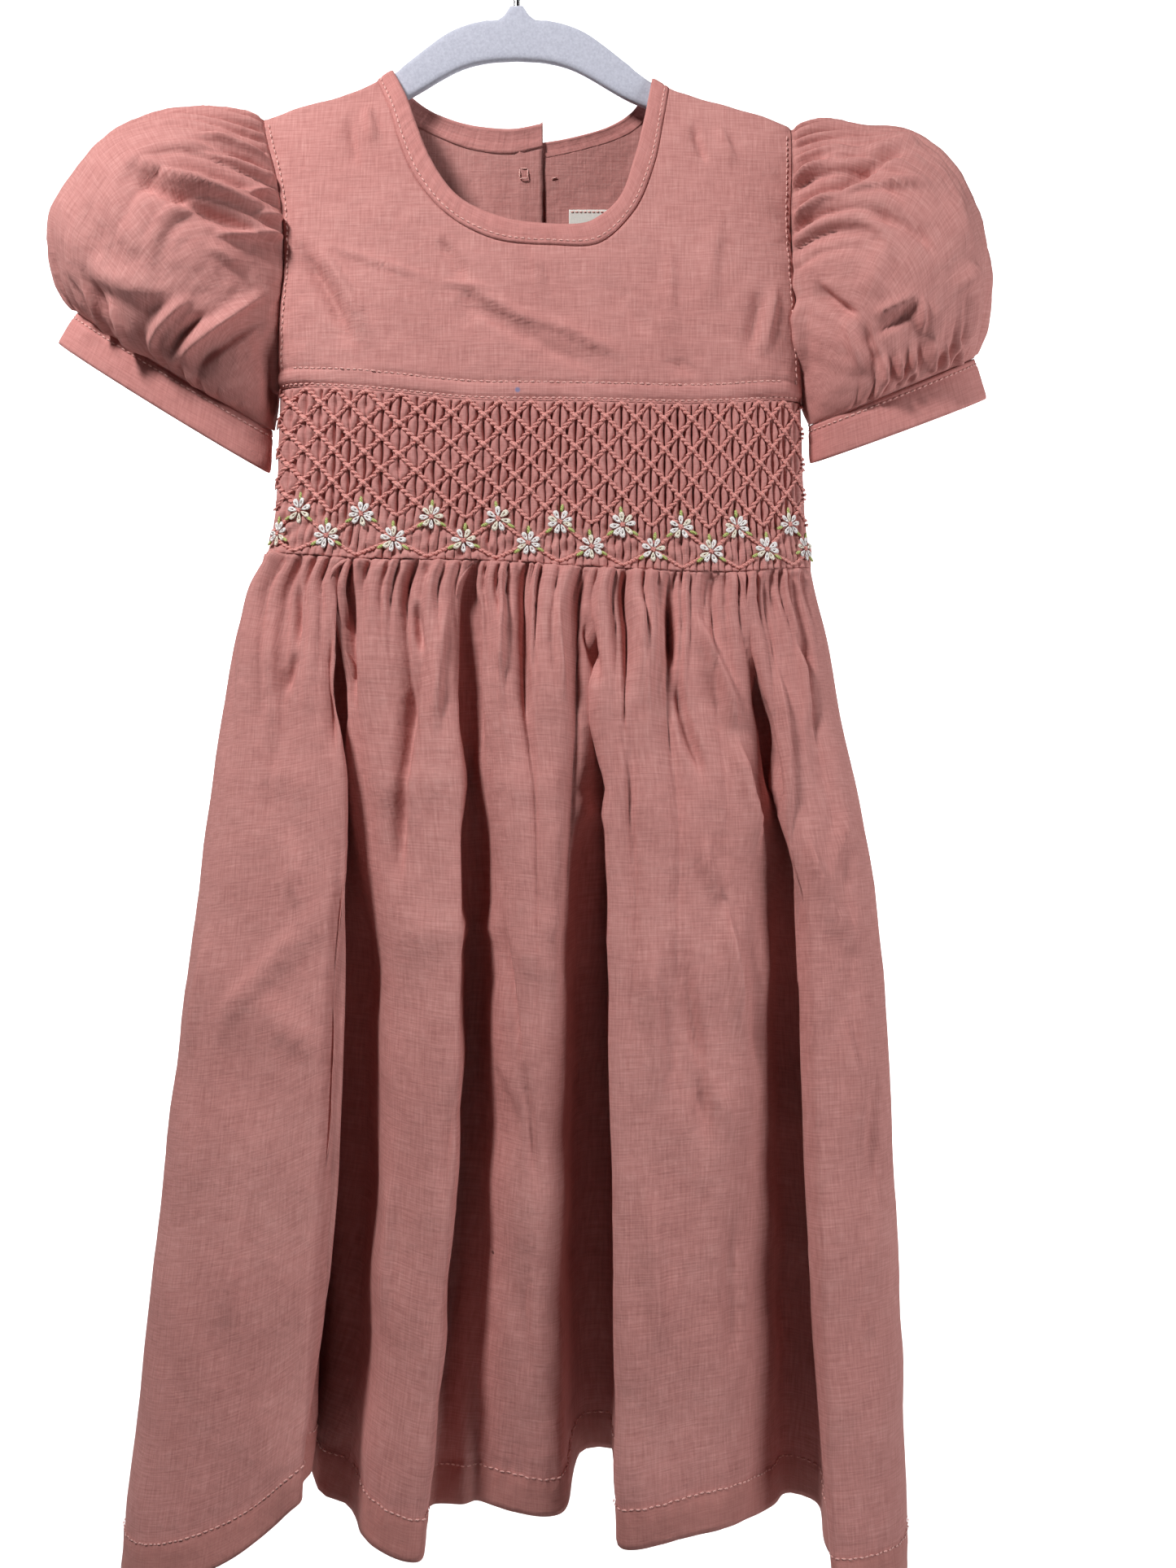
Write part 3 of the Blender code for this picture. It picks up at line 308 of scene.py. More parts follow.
# Creases are in millimetres on the dress. Depth is above 0 for a ridge and below 0 for a trough.
CREASE_SHARPNESS = 0.5  # width of a crease's shaded side, as a share of the lit side's
SHADED_SIDE_LEAST = 1.5
SKIRT_ROW_GAP = 6.0  # creases that lean across the skirt's rows are at least about this wide
YOKE_CREASE_GAIN = 2.4  # creases stand out this much more than the depths in the tables
SKIRT_CREASE_GAIN = 2.2
SLEEVE_CREASE_GAIN = 1.5
UNDER_SEAM = 0.3  # the skirt's top edge lies this far under the panel's lower edge
WAIST_ROUND = 0.9  # how far the cloth at the waist seam stands out, which rounds the corner there
YOKE_CREASES = (
    # start x, start z, end x, end z, bow, width, depth
    (-113, -184, -79, -247, -4, 6, -1.9),
    (-104, -182, -70, -245, -4, 6, 1.6),
    (-106, -186, -36, -209, 0, 2.0, 0.8),
    (-40, -208, -8, -213, 0, 2.0, 0.7),
    (-39, -184, -22, -212, -1, 5, -1.5),
    (-22, -207, -22, -238, 0, 5, -0.9),
    (-30, -205, 20, -233, 3, 5, 1.4),
    (10, -226, 56, -250, -1, 4.5, 1.4),
    (-34, -213, 48, -257, 2, 6, -1.0),
    (9, -190, 14, -221, -1, 4, 1.2),
    (78, -183, 78, -254, 0, 5, 0.9),
    (125, -208, 116, -248, 0, 6, -1.4),
    (132, -204, 124, -247, 0, 6, 1.2),
    (-74, -112, -69, -138, 1, 5, 1.5),
    (-84, -118, -78, -150, 1, 5, -1.1),
    (90, -122, 98, -148, 1, 4, -1.2),
    (103, -124, 112, -146, 1, 5, 1.1),
    (80, -246, 86, -257, 0, 3.5, -1.2),
    (-95, -251, -66, -254, 0, 2.4, 0.4),
    (46, -202, 70, -238, 2, 7, -1.0),
    (104, -170, 99, -226, 3, 9, 0.9),
)
BACK_CREASES = {
    "right": (
        # start x, start z, end x, end z, bow, width, depth
        (-96, -140, -52, -258, 6, 6.0, -1.5),
        (-110, -190, -70, -330, -6, 7.0, 1.6),
        (-40, -150, -18, -300, 5, 6.0, 1.2),
        (-80, -230, -10, -318, -5, 6.0, -1.3),
        (-60, -176, 4, -196, 0, 2.4, 0.8),
        (-112, -262, -64, -296, 2, 4.0, 1.3),
    ),
    "left": (
        # start x, start z, end x, end z, bow, width, depth
        (110, -142, 62, -262, -6, 6.0, -1.5),
        (124, -200, 82, -334, 6, 7.0, 1.6),
        (52, -150, 34, -298, -4, 6.0, 1.2),
        (92, -236, 22, -322, 5, 6.0, -1.3),
        (30, -214, 96, -204, 0, 2.4, 0.8),
        (126, -268, 78, -300, -2, 4.0, 1.3),
    ),
}

REEDS_PER_DIAMOND = 4
LATTICE = (
    # diamonds from the right edge, share of the panel's width
    (0, 0.0),
    (1, 0.063),
    (3, 0.179),
    (5, 0.307),
    (7, 0.428),
    (9, 0.540),
    (11, 0.653),
    (13, 0.758),
    (15, 0.859),
    (17, 0.957),
    (18, 1.0),
)
BORDER_HALF_ROWS = (0, 8, 9, 10, 11)
BORDER_SHARES = (0.0, 0.745, 0.885, 0.985, 1.085)
HALF_ROW_BELOW = 8.0  # height of a half row, for the pleats that run on below the waist seam
PLEAT_PULL = 0.05  # how far the pleats are drawn to a crossing, in diamonds
REED_FULLNESS = np.random.default_rng(4).uniform(0.7, 1.25, 73)
PUFF_OPENNESS = np.random.default_rng(9).uniform(0.25, 1.0, (32, 32))  # how deep each diamond's pleats are
THREAD_LIFT = 0.95  # height of the middle of the smocking thread above the panel's surface
FLOWER_RADIUS = 6.2
LEAF_HOURS = (12, 4, 8)

# Gathers: how many across, height, distance over which they open, shortest and longest reach, seed
FINE_GATHERS = (40, 5.6, 1.2, (12, 64), 61)
BROAD_GATHERS = (13, 9.0, 2.5, (60, 180), 62)
BACK_FINE_GATHERS = (38, 5.2, 1.2, (12, 60), 63)
BACK_BROAD_GATHERS = (12, 8.0, 2.5, (60, 170), 64)
FRONT_PUFFS = (0, 0.075, 0.173, 0.285, 0.390, 0.486, 0.590, 0.660, 0.735, 0.815, 0.903, 0.957, 1)
HEAD_GATHERS = (48, 5.0, 1.5, (10, 40), 65)
HEAD_FOLDS = (17, 4.4, 8.0, (30, 70), 66)
WRIST_GATHERS = (32, 4.4, 1.5, (10, 32), 67)
WRIST_FOLDS = (13, 3.6, 7.0, (22, 52), 68)
SLEEVE_REACH = 108.0  # length of a sleeve from armhole to cuff, at its middle

WAIST_WEIGHT = 0.6  # share of the skirt's columns that is laid out by the waist
ROW_DROPS = ((0.0, 0.2, 0.46, 0.93, 1.0), (-0.0028, 0.05, 0.22, 0.955, 1.0))
FRONT_SKIRT_CREASES = (
    # start x, start z, end x, end z, bow, width, depth
    (-107, -350, -106, -394, 0, 3.5, -2.6),
    (-106, -391, -112, -415, 0, 3.5, -2.0),
    (-119, -370, -116, -446, 0, 7, 2.0),
    (-80, -356, -78, -424, 1, 4, -3.0),
    (-93, -372, -87, -452, -3, 6, -2.6),
    (-48, -366, -44, -396, 0, 4, -3.0),
    (-44, -390, -55, -512, 3, 7, -4.0),
    (-33, -365, -37, -436, 0, 6, 2.4),
    (-18, -356, -17, -450, 0, 5, -3.4),
    (-6, -364, -4, -408, 0, 5, 2.0),
    (5, -369, 9, -436, 0, 5, -1.8),
    (21, -363, 25, -420, 0, 4, 2.0),
    (35, -372, 44, -412, 0, 4.5, -3.2),
    (55, -394, 54, -488, 0, 6, 2.2),
    (62, -358, 66, -426, 0, 5, 2.0),
    (76, -360, 78, -402, 0, 4, -3.0),
    (78, -399, 95, -459, 2, 5, -3.2),
    (87, -370, 110, -438, -3, 5, 3.4),
    (108, -430, 121, -494, 0, 6, 3.0),
    (117, -398, 132, -478, -2, 5, -3.4),
    (127, -385, 133, -494, -3, 5, 3.0),
    (140, -382, 149, -404, 0, 3, -1.8),
    (143, -380, 147, -436, 0, 5, 2.0),
    (-20, -457, -75, -460, 0, 2.2, 1.0),
    (28, -461, -14, -457, 0, 2.2, 1.1),
    (52, -474, 29, -468, 0, 2.4, 1.1),
    (50, -462, 30, -459, 0, 2.2, -0.9),
    (-90, -458, -126, -461, 0, 2.4, 1.1),
    (-126, -468, -102, -461, 0, 3, -1.3),
    (5, -526, -62, -531, 0, 4.6, 1.2),
    (28, -521, 5, -530, 0, 4.4, 1.2),
    (-110, -483, -99, -508, 0, 3.4, 1.6),
    (-110, -495, -99, -521, 0, 3.4, 1.6),
    (-83, -515, -148, -582, 2, 5.0, 2.4),
    (-124, -562, -85, -586, 0, 5, 2.0),
    (-145, -522, -158, -600, 0, 6, 1.2),
    (-5, -516, 6, -594, 1, 2.8, -1.9),
    (5, -590, 15, -655, 0, 3.4, -1.2),
    (-11, -576, 12, -625, 0, 3, 1.3),
    (-4, -532, 29, -553, 0, 3, 1.1),
    (-26, -600, -32, -656, 0, 6, -1.3),
    (78, -526, 94, -640, -3, 7, -2.0),
    (90, -484, 100, -515, 0, 3.5, 2.0),
    (102, -514, 110, -578, -1, 5, 2.4),
    (80, -574, 110, -625, 2, 4, 1.5),
    (66, -530, 72, -610, 0, 8, 1.8),
    (116, -522, 122, -606, 0, 7, -1.8),
    (140, -481, 156, -524, 1, 4, 2.2),
    (147, -516, 173, -535, 0, 4, 1.9),
    (168, -468, 154, -503, 0, 4, 1.8),
    (160, -568, 172, -626, 1, 5, 1.4),
    (177, -588, 174, -664, 0, 6, -1.3),
    (-125, -645, -131, -718, 0, 7, 1.3),
    (-56, -633, -60, -718, 0, 8, 1.7),
    (5, -687, 9, -740, 0, 9, -1.3),
    (66, -645, 71, -722, 0, 9, 1.5),
    (105, -656, 106, -734, 0, 8, -1.5),
    (168, -713, 171, -719, 1, 1.4, 1.2),
)
FOLD_VALLEYS = (
    # x at the top, top z, x at the hem, width to the left, width to the right, depth
    (-81, -470, -90, 3.0, 18, 12.0),
    (41, -420, 44, 14, 3.0, 13.0),
    (138, -470, 147, 13, 3.0, 10.0),
    (-21, -440, -18, 2.5, 8, 4.0),
)
HEM_HEIGHT = -860.0  # where the skirt's fold valleys end
BACK_SKIRT_CREASES = (
    # start x, start z, end x, end z, bow, width, depth
    (-150, -470, 30, -466, 5, 2.6, 0.9),
    (10, -535, 180, -528, -5, 2.6, 0.9),
    (-130, -540, -80, -640, 6, 4.0, 1.8),
    (-40, -600, 10, -700, -6, 4.0, -1.7),
    (70, -520, 120, -620, 6, 4.0, 1.7),
    (150, -640, 110, -740, -5, 5.0, -1.6),
    (-96, -380, -90, -470, 0, 5.0, 2.6),
    (-30, -372, -34, -452, 0, 5.0, -2.6),
    (44, -376, 52, -470, 0, 5.0, 2.8),
    (104, -380, 112, -480, 0, 5.0, -2.8),
    (-110, -660, -104, -740, 0, 7.0, 1.5),
    (20, -560, 60, -592, 0, 3.0, 1.3),
)

SLEEVE_CREASES = {
    "right": (
        # start x, start z, end x, end z, bow, width, depth
        (-121, -145, -160, -139, 2, 4.5, 2.8),
        (-122, -152, -160, -148, 2, 4, -2.4),
        (-122, -174, -192, -151, -4, 5.5, 4.0),
        (-130, -182, -192, -161, -4, 6, -4.4),
        (-158, -175, -131, -189, 0, 8, -2.4),
        (-119, -160, -138, -168, 0, 2.6, 2.0),
        (-113, -173, -133, -179, 0, 2.4, 1.8),
        (-112, -182, -148, -191, -1, 3.6, 3.2),
        (-173, -253, -122, -211, 3, 4.5, 3.8),
        (-166, -257, -120, -221, 3, 5, -2.6),
        (-183, -247, -153, -221, -2, 5, 3.4),
        (-172, -250, -146, -228, -2, 4, -2.8),
        (-203, -232, -213, -208, 0, 3, 2.6),
        (-189, -243, -199, -218, 1, 3, 3.0),
        (-208, -227, -221, -206, 0, 4, -2.0),
        (-196, -238, -206, -212, 0, 3, -2.2),
        (-216, -202, -156, -222, 5, 10, 2.8),
        (-124, -226, -118, -277, 0, 8, -3.4),
        (-192, -166, -178, -204, 4, 10, 2.2),
        (-209, -172, -200, -208, 0, 9, -1.8),
        (-150, -196, -132, -206, 0, 5, 1.8),
    ),
    "left": (
        # start x, start z, end x, end z, bow, width, depth
        (135, -145, 171, -141, 0, 5, 2.4),
        (136, -151, 166, -149, 0, 3.4, -1.8),
        (137, -162, 171, -145, -3, 4, 3.0),
        (157, -170, 197, -146, -3, 6, -4.6),
        (172, -150, 204, -138, 0, 7, 2.6),
        (140, -179, 162, -169, -2, 4, 3.2),
        (156, -171, 207, -169, -3, 4.5, 3.6),
        (166, -180, 206, -203, -3, 7, -3.2),
        (139, -186, 143, -216, 2, 5, 4.0),
        (142, -210, 146, -252, 0, 5, 3.6),
        (148, -208, 170, -231, 2, 5, -3.8),
        (170, -232, 182, -259, 1, 4, -2.8),
        (162, -226, 172, -258, 0, 4, 2.4),
        (174, -232, 198, -222, 0, 4, 2.6),
        (174, -241, 195, -230, 0, 4, -2.4),
        (198, -222, 198, -241, 0, 3, 2.8),
        (184, -263, 181, -248, 0, 3, 2.6),
        (191, -262, 188, -246, 0, 2.6, 2.4),
        (198, -260, 195, -243, 0, 3, 2.6),
        (206, -257, 204, -239, 0, 3, 2.6),
        (213, -255, 211, -240, 0, 3, 2.4),
        (222, -252, 219, -238, 0, 3, 2.4),
        (232, -205, 214, -221, 1, 6, 3.0),
        (217, -166, 225, -202, 3, 10, 2.0),
        (184, -194, 176, -224, 2, 9, 1.8),
    ),
}
SLEEVE_BACK_CREASES = {
    "right": (
        # start x, start z, end x, end z, bow, width, depth
        (-122, -150, -170, -141, 2, 5, 3.0),
        (-124, -168, -196, -158, -4, 6, -3.6),
        (-118, -184, -168, -204, 3, 5, 3.2),
        (-128, -214, -186, -226, -3, 6, -3.0),
        (-150, -250, -128, -220, 0, 5, 2.8),
        (-212, -180, -186, -222, 4, 8, 2.2),
    ),
    "left": (
        # start x, start z, end x, end z, bow, width, depth
        (138, -152, 186, -142, 2, 5, 3.0),
        (140, -172, 206, -164, -4, 6, -3.4),
        (142, -190, 180, -212, 3, 5, 3.4),
        (146, -222, 204, -232, -3, 6, -3.0),
        (170, -258, 158, -226, 0, 5, 2.6),
        (228, -184, 208, -224, 4, 8, 2.2),
    ),
}

# Flat cuts, in metres: width, length
FRONT_SKIRT_FLAT = (0.74, 0.50)
BACK_SKIRT_FLAT = (0.74, 0.50)

BUTTON_HOLE = 1.3
BUTTON_PROFILE = (
    # distance from the axis, height
    (0.0, -1.1),
    (4.4, -1.1),
    (5.2, -0.8),
    (5.5, -0.2),
    (5.5, 0.4),
    (5.1, 0.95),
    (4.5, 1.1),
    (3.9, 0.95),
    (3.4, 0.55),
    (2.6, 0.45),
    (0.0, 0.4),
)
THREAD_SQUARE = (2.1, 2.6)  # half sizes of the square of thread behind the top button
THREAD_STUB = (18.8, -141.7)

# Marks on the cloth: across, height, radius, colour
INK_MARK = (1.6, -263.0, 1.6, "#6E7FA8")
DARK_DOT = (-9.0, -682.0, 0.9, "#3A1A18")

# Camera, backdrop and light, in metres and watts
CAMERA_PLACE = (0.03646, -0.80, -0.4581)
CAMERA_LENS = 35.87
BACKDROP_WIDTH = 2.9
BACKDROP_Y = 2.0
BACKDROP_ROUND = 0.7
FLOOR_Z = -1.35
KEY_PLACE = (-0.58, -0.70, 0.48)
KEY_POWER = 16.0
SECOND_PLACE = (0.95, -0.50, -0.35)
SECOND_POWER = 5.5
BACKDROP_POWER = 34.0
BACKDROP_SPREAD = 105.0  # of the backdrop lights' beams, in degrees
ROOM_LIGHT = 0.012
ROOM_SEEN = 0.95  # how pale the room looks behind the paper


def smooth(at, values):
    """A smooth curve through values, to be read at any place from the first of at to the last."""
    at = np.asarray(at, float)
    values = np.asarray(values, float)
    slope = np.gradient(values, at)

    def read(where):
        where = np.clip(where, at[0], at[-1])
        i = np.clip(np.searchsorted(at, where) - 1, 0, len(at) - 2)
        gap = at[i + 1] - at[i]
        t = (where - at[i]) / gap
        start = (1 + 2 * t) * (1 - t) ** 2 * values[i] + t * (1 - t) ** 2 * gap * slope[i]
        end = t * t * (3 - 2 * t) * values[i + 1] + t * t * (t - 1) * gap * slope[i + 1]
        return start + end

    return read


def outline(points):
    """A smooth curve through points on a plane, read by its share from 0 to 1."""
    points = np.asarray(points, float)
    steps = np.linalg.norm(np.diff(points, axis=0), axis=1)
    along = np.concatenate([[0], np.cumsum(steps)]) / steps.sum()
    across, up = (smooth(along, points[:, k]) for k in (0, 1))
    return lambda share: np.stack([across(share), up(share)], axis=-1)


def columns_of(table, *which):
    """A smooth curve for each of the named columns, by the table's first column."""
    rows = np.asarray(table, float)
    return [smooth(rows[:, 0], rows[:, k]) for k in which]


def eased(share):
    share = np.clip(share, 0, 1)
    return share * share * (3 - 2 * share)


(shoulder_height,) = columns_of(SHOULDER, 1)
right_edge, left_edge = columns_of(SIDES, 1, 2)
(yoke_seam_height,) = columns_of(YOKE_SEAM, 1)
(waist_seam_height,) = columns_of(WAIST_SEAM, 1)
skirt_right, skirt_left = columns_of(SKIRT_SIDES, 1, 2)


def seam_points(height, share):
    """Points of a seam that crosses the body from its right edge to its left, by share."""
    z = height(0.0 * share)
    for _ in range(4):
        x = right_edge(z) + (left_edge(z) - right_edge(z)) * share
        z = height(x)
    return np.stack([x, z], axis=-1)


def side_edge(side, z):
    return right_edge(z) if side == "right" else left_edge(z)


def tip_height(side):
    return float(shoulder_height(abs(TIP_X[side])))


def armhole_half_depth(side, z):
    """Half the opening of the armhole at a height; almost closed above the tip and below the arm."""
    low, high = UNDERARM_Z[side], tip_height(side)
    share = np.clip((z - low) / (high - low), 0, 1)
    return np.maximum(ARMHOLE_HALF_DEPTH * 2 * np.sqrt(share * (1 - share)), SEAM_GAP / 2)


def body_depth(x, z):
    """Distance of the outer cloth from the middle plane, anywhere on the yoke, back or smocking."""
    below = np.maximum(shoulder_height(np.abs(x)) - z, 0)
    bend = np.sqrt(np.maximum(1 - (1 - np.minimum(below / SHOULDER_BEND, 1)) ** 2, 0))
    past = np.maximum(below - SHOULDER_BEND, 0)
    middle = SHOULDER_BEND * bend + DEPTH_PER_DROP * past
    middle = middle + CHEST_FULLNESS * (1 - np.exp(-past / CHEST_REACH))
    low, high = right_edge(z), left_edge(z)
    across = np.clip((2 * x - low - high) / (high - low), -1, 1)
    near_shoulder = eased(1 - below / TIP_REACH)
    edge = np.where(
        across < 0,
        armhole_half_depth("right", z + (tip_height("right") - z - below) * near_shoulder),
        armhole_half_depth("left", z + (tip_height("left") - z - below) * near_shoulder),
    )
    round_off = np.sqrt(1 - np.abs(across) ** SIDE_SQUARENESS)
    return np.maximum(edge + (middle - edge) * round_off, SEAM_GAP / 2)


def on_body(plane_points, side, inwards=0.0):
    """Points of the front or back plane, moved out to the cloth's outer surface."""
    x, z = plane_points[..., 0], plane_points[..., 1]
    return np.stack([x, side * (body_depth(x, z) - inwards), z], axis=-1)


def patch(start, end, first_side, second_side):
    """A plane patch between four edges: start and end run across, the sides run down."""

    def place(u, v):
        u, v = np.asarray(u)[..., None], np.asarray(v)[..., None]
        rows = (1 - v) * start(u[..., 0]) + v * end(u[..., 0])
        lines = (1 - u) * first_side(v[..., 0]) + u * second_side(v[..., 0])
        corners = (1 - u) * ((1 - v) * start(0.0) + v * end(0.0))
        corners = corners + u * ((1 - v) * start(1.0) + v * end(1.0))
        return rows + lines - corners

    return place


def joined(*stretches):
    """One edge made of several: each stretch is (share of the edge, curve)."""
    shares = np.cumsum([0.0] + [share for share, _ in stretches])

    def read(where):
        where = np.asarray(where, float)
        out = np.zeros(where.shape + (2,))
        for (share, curve), low in zip(stretches, shares):
            inside = (where >= low - 1e-9) & (where <= low + share + 1e-9)
            local = np.clip((where - low) / share, 0, 1)
            out = np.where(inside[..., None], curve(local), out)
        return out

    return read


def line_to(start_x, end_x, height):
    """An edge that runs across between two places at the height that a function gives."""

    def read(share):
        x = start_x + (end_x - start_x) * share
        return np.stack([x, height(x)], axis=-1)

    return read


def armhole_edge(side, above_underarm):
    """The armhole's edge from the shoulder tip down to a place just above the underarm."""

    def read(share):
        low, high = UNDERARM_Z[side] + above_underarm, tip_height(side)
        z = high + (low - high) * share
        return np.stack([side_edge(side, z), z], axis=-1)

    return read


def normals_of(place, u, v, wraps=False):
    """Unit normals of a surface, on one side of it or the other. On a tube u wraps round."""
    step = 1e-4
    keep = (lambda share: share) if wraps else (lambda share: np.clip(share, 0, 1))
    along = place(keep(u + step), v) - place(keep(u - step), v)
    down = place(u, np.clip(v + step, 0, 1)) - place(u, np.clip(v - step, 0, 1))
    normal = np.cross(along, down)
    return normal / np.maximum(np.linalg.norm(normal, axis=-1, keepdims=True), 1e-12)


def neck_curves(rows):
    rows = np.asarray(rows, float)
    return outline(rows[:, :2]), outline(rows[:, 2:])


def binding_plane(rows):
    """The strip between the neck edge and the seam, stopping short of the seam by its gap."""
    edge, seam = neck_curves(rows)
    return lambda u, v: edge(u) + (seam(u) - edge(u)) * (v * BINDING_SHARE)[..., None]


def under_layer(side, x):
    """How far the back piece steps in: the right piece lies under the left one at the opening."""
    if side == "left":
        return 0.0
    past_middle = (x - (PLACKET_EDGE["left"] - PLACKET_FADE)) / PLACKET_FADE
    return PLACKET_LAYER * eased(past_middle)


def back_surface(plane, side, extra=0.0):
    def place(u, v):
        points = plane(u, v)
        return on_body(points, BACK, inwards=under_layer(side, points[..., 0]) - extra)

    return place


def panel_plane(u, v):
    """The panel between the yoke seam and the waist seam, as wide as the body at each height."""
    top = seam_points(yoke_seam_height, u)[..., 1] - SEAM_GAP / 2
    bottom = seam_points(waist_seam_height, u)[..., 1] + SEAM_GAP / 2
    z = top + (bottom - top) * v
    return np.stack([right_edge(z) + (left_edge(z) - right_edge(z)) * u, z], axis=-1)


def fold_curves(folds):
    """Curves along the cloth for each column of a fold table, by the share of cloth at the hem."""
    rows = np.asarray(folds, float)
    width = SKIRT_SIDES[-1][2] - SKIRT_SIDES[-1][1]
    steps = np.hypot(np.diff(rows[:, 2]) * width, np.diff(rows[:, 4]))
    cloth = np.concatenate([[0], np.cumsum(steps)]) / steps.sum()
    return [smooth(cloth, rows[:, k]) for k in range(rows.shape[1])]


def between_levels(waist, mid, hem, share):
    """A value that passes through its waist, middle and hem values as share goes from 0 to 1."""
    m = MID_SHARE
    return (
        waist * (share - m) * (share - 1) / m
        + mid * share * (share - 1) / (m * (m - 1))
        + hem * share * (share - m) / (1 - m)
    )


def skirt_surface(folds, side):
    """The skirt's outer surface: gathered flat at the waist and opening into folds at the hem."""
    at_waist, at_mid, at_hem, deep_mid, deep_hem, hem_height = fold_curves(folds)

    def place(u, v):
        share = between_levels(at_waist(u), at_mid(u), at_hem(u), v)
        waist = seam_points(waist_seam_height, at_waist(u))
        waist_x, waist_z = waist[..., 0], waist[..., 1] - SEAM_GAP / 2
        z = waist_z + (hem_height(u) - waist_z) * v
        drop = v * SKIRT_LENGTH
        low, high = skirt_right(drop), skirt_left(drop)
        x = low + (high - low) * share
        waist_depth = body_depth(waist_x, waist_z)
        depth = np.maximum(between_levels(waist_depth, deep_mid(u), deep_hem(u), v), SEAM_GAP / 2)
        return np.stack([x, side * depth, z], axis=-1)

    return place


def sleeve_surface(side):
    """A puff that fans out from the underarm, between the armhole and the top of the cuff."""
    sizes = SLEEVES[side]
    outer_end = outline(sizes["outline"])
    inner_start, inner_end = (np.array(p) for p in sizes["inner"])
    low, high = UNDERARM_Z[side], tip_height(side)
    outwards = 1 if side == "left" else -1

    def place(u, v):
        around = 2 * np.pi * u
        along = 0.5 * (1 - np.cos(around))
        inner = inner_start + (inner_end - inner_start) * v[..., None]
        flat = inner + (outer_end(v) - inner) * along[..., None]
        armhole_z = low + (high - low) * along
        armhole_x = side_edge(side, armhole_z) + outwards * SEAM_GAP
        armhole = np.stack([armhole_x, armhole_z - SEAM_GAP / 2], axis=-1)
        straight = inner_start + (outer_end(0.0) - inner_start) * along[..., None]
        flat = flat + (armhole - straight) * ((1 - v) ** 3)[..., None]
        half = ARMHOLE_HALF_DEPTH + (sizes["cuff_half_depth"] - ARMHOLE_HALF_DEPTH) * v
        fullness = np.sin(np.pi * v) ** PUFF_SQUARENESS * (PUFF_AT_UNDERARM + PUFF_TOWARDS_TOP * along)
        half = half + sizes["puff_half_depth"] * fullness
        y = -half * np.sin(around)
        return np.stack([flat[..., 0], y, flat[..., 1] + CUFF_TILT * y * v**3], axis=-1)

    return place


def cuff_surface(side):
    sizes = SLEEVES[side]
    inner_top, inner_bottom = (np.array(p) for p in sizes["cuff_inner"])
    outer_top, outer_bottom = (np.array(p) for p in sizes["cuff_outer"])
    half = sizes["cuff_half_depth"] + CUFF_EXTRA

    def place(u, v):
        around = 2 * np.pi * u
        along = 0.5 * (1 - np.cos(around))[..., None]
        inner = inner_top + (inner_bottom - inner_top) * v[..., None]
        outer = outer_top + (outer_bottom - outer_top) * v[..., None]
        flat = inner + (outer - inner) * along
        y = -half * np.sin(around)
        return np.stack([flat[..., 0], y, flat[..., 1] + CUFF_TILT * y], axis=-1)

    return place


def hook_route():
    """Centreline of the wire: up the shank, out to one side and over the rail."""
    radius = HOOK_INNER_RADIUS + WIRE_RADIUS
    centre_z = -HOOK_INNER_RADIUS
    foot = HANGER_NECK[0][1] - SOCKET_DEPTH + SEAM_GAP
    start_angle, end_angle = (math.radians(angle) for angle in HOOK_ANGLES)
    shank = [(0.0, foot + (HOOK_SHANK_TOP - foot) * k / 4) for k in range(4)]
    arc_start = (radius * math.cos(start_angle), centre_z + radius * math.sin(start_angle))
    back_x, back_z = HOOK_BEND_PULL * math.sin(start_angle), HOOK_BEND_PULL * math.cos(start_angle)
    handles = (
        (0.0, HOOK_SHANK_TOP),
        (0.0, HOOK_SHANK_TOP + HOOK_BEND_PULL),
        (arc_start[0] + back_x, arc_start[1] - back_z),
        arc_start,
    )
    bend = []
    for k in range(6):
        t = k / 6
        weights = ((1 - t) ** 3, 3 * t * (1 - t) ** 2, 3 * t * t * (1 - t), t**3)
        bend.append(tuple(sum(w * h[axis] for w, h in zip(weights, handles)) for axis in (0, 1)))
    arc = [
        (radius * math.cos(a), centre_z + radius * math.sin(a))
        for a in np.linspace(start_angle, end_angle, 22)
    ]
    return shank + bend + arc


# Laying cloth on those surfaces


def even(count):
    return np.linspace(0, 1, count + 1)


def shares(count, crowded=(), gain=6.0, reach=0.02, exact=()):
    """Shares from 0 to 1, closer together near the crowded places, with the exact ones among them."""
    fine = np.linspace(0, 1, 20 * count)
    density = 1 + sum(gain * np.exp(-np.abs(fine - place) / reach) for place in crowded) + 0 * fine
    total = np.concatenate([[0], np.cumsum((density[1:] + density[:-1]) / 2)])
    out = np.interp(np.linspace(0, total[-1], count + 1), total, fine)
    for place in exact:
        out[np.argmin(np.abs(out - place))] = place
    return out


def ripples(x, z, wavelength, seed, layers=6):
    """Uneven soft waves, mostly between -1 and 1, from sine waves in directions drawn once."""
    draw = np.random.default_rng(seed)
    total = 0.0
    for _ in range(layers):
        angle, phase = draw.uniform(0, 2 * np.pi, 2)
        turn = 2 * np.pi / (wavelength * draw.uniform(0.7, 1.5))
        total = total + np.sin((x * np.cos(angle) + z * np.sin(angle)) * turn + phase)
    return total / math.sqrt(layers)


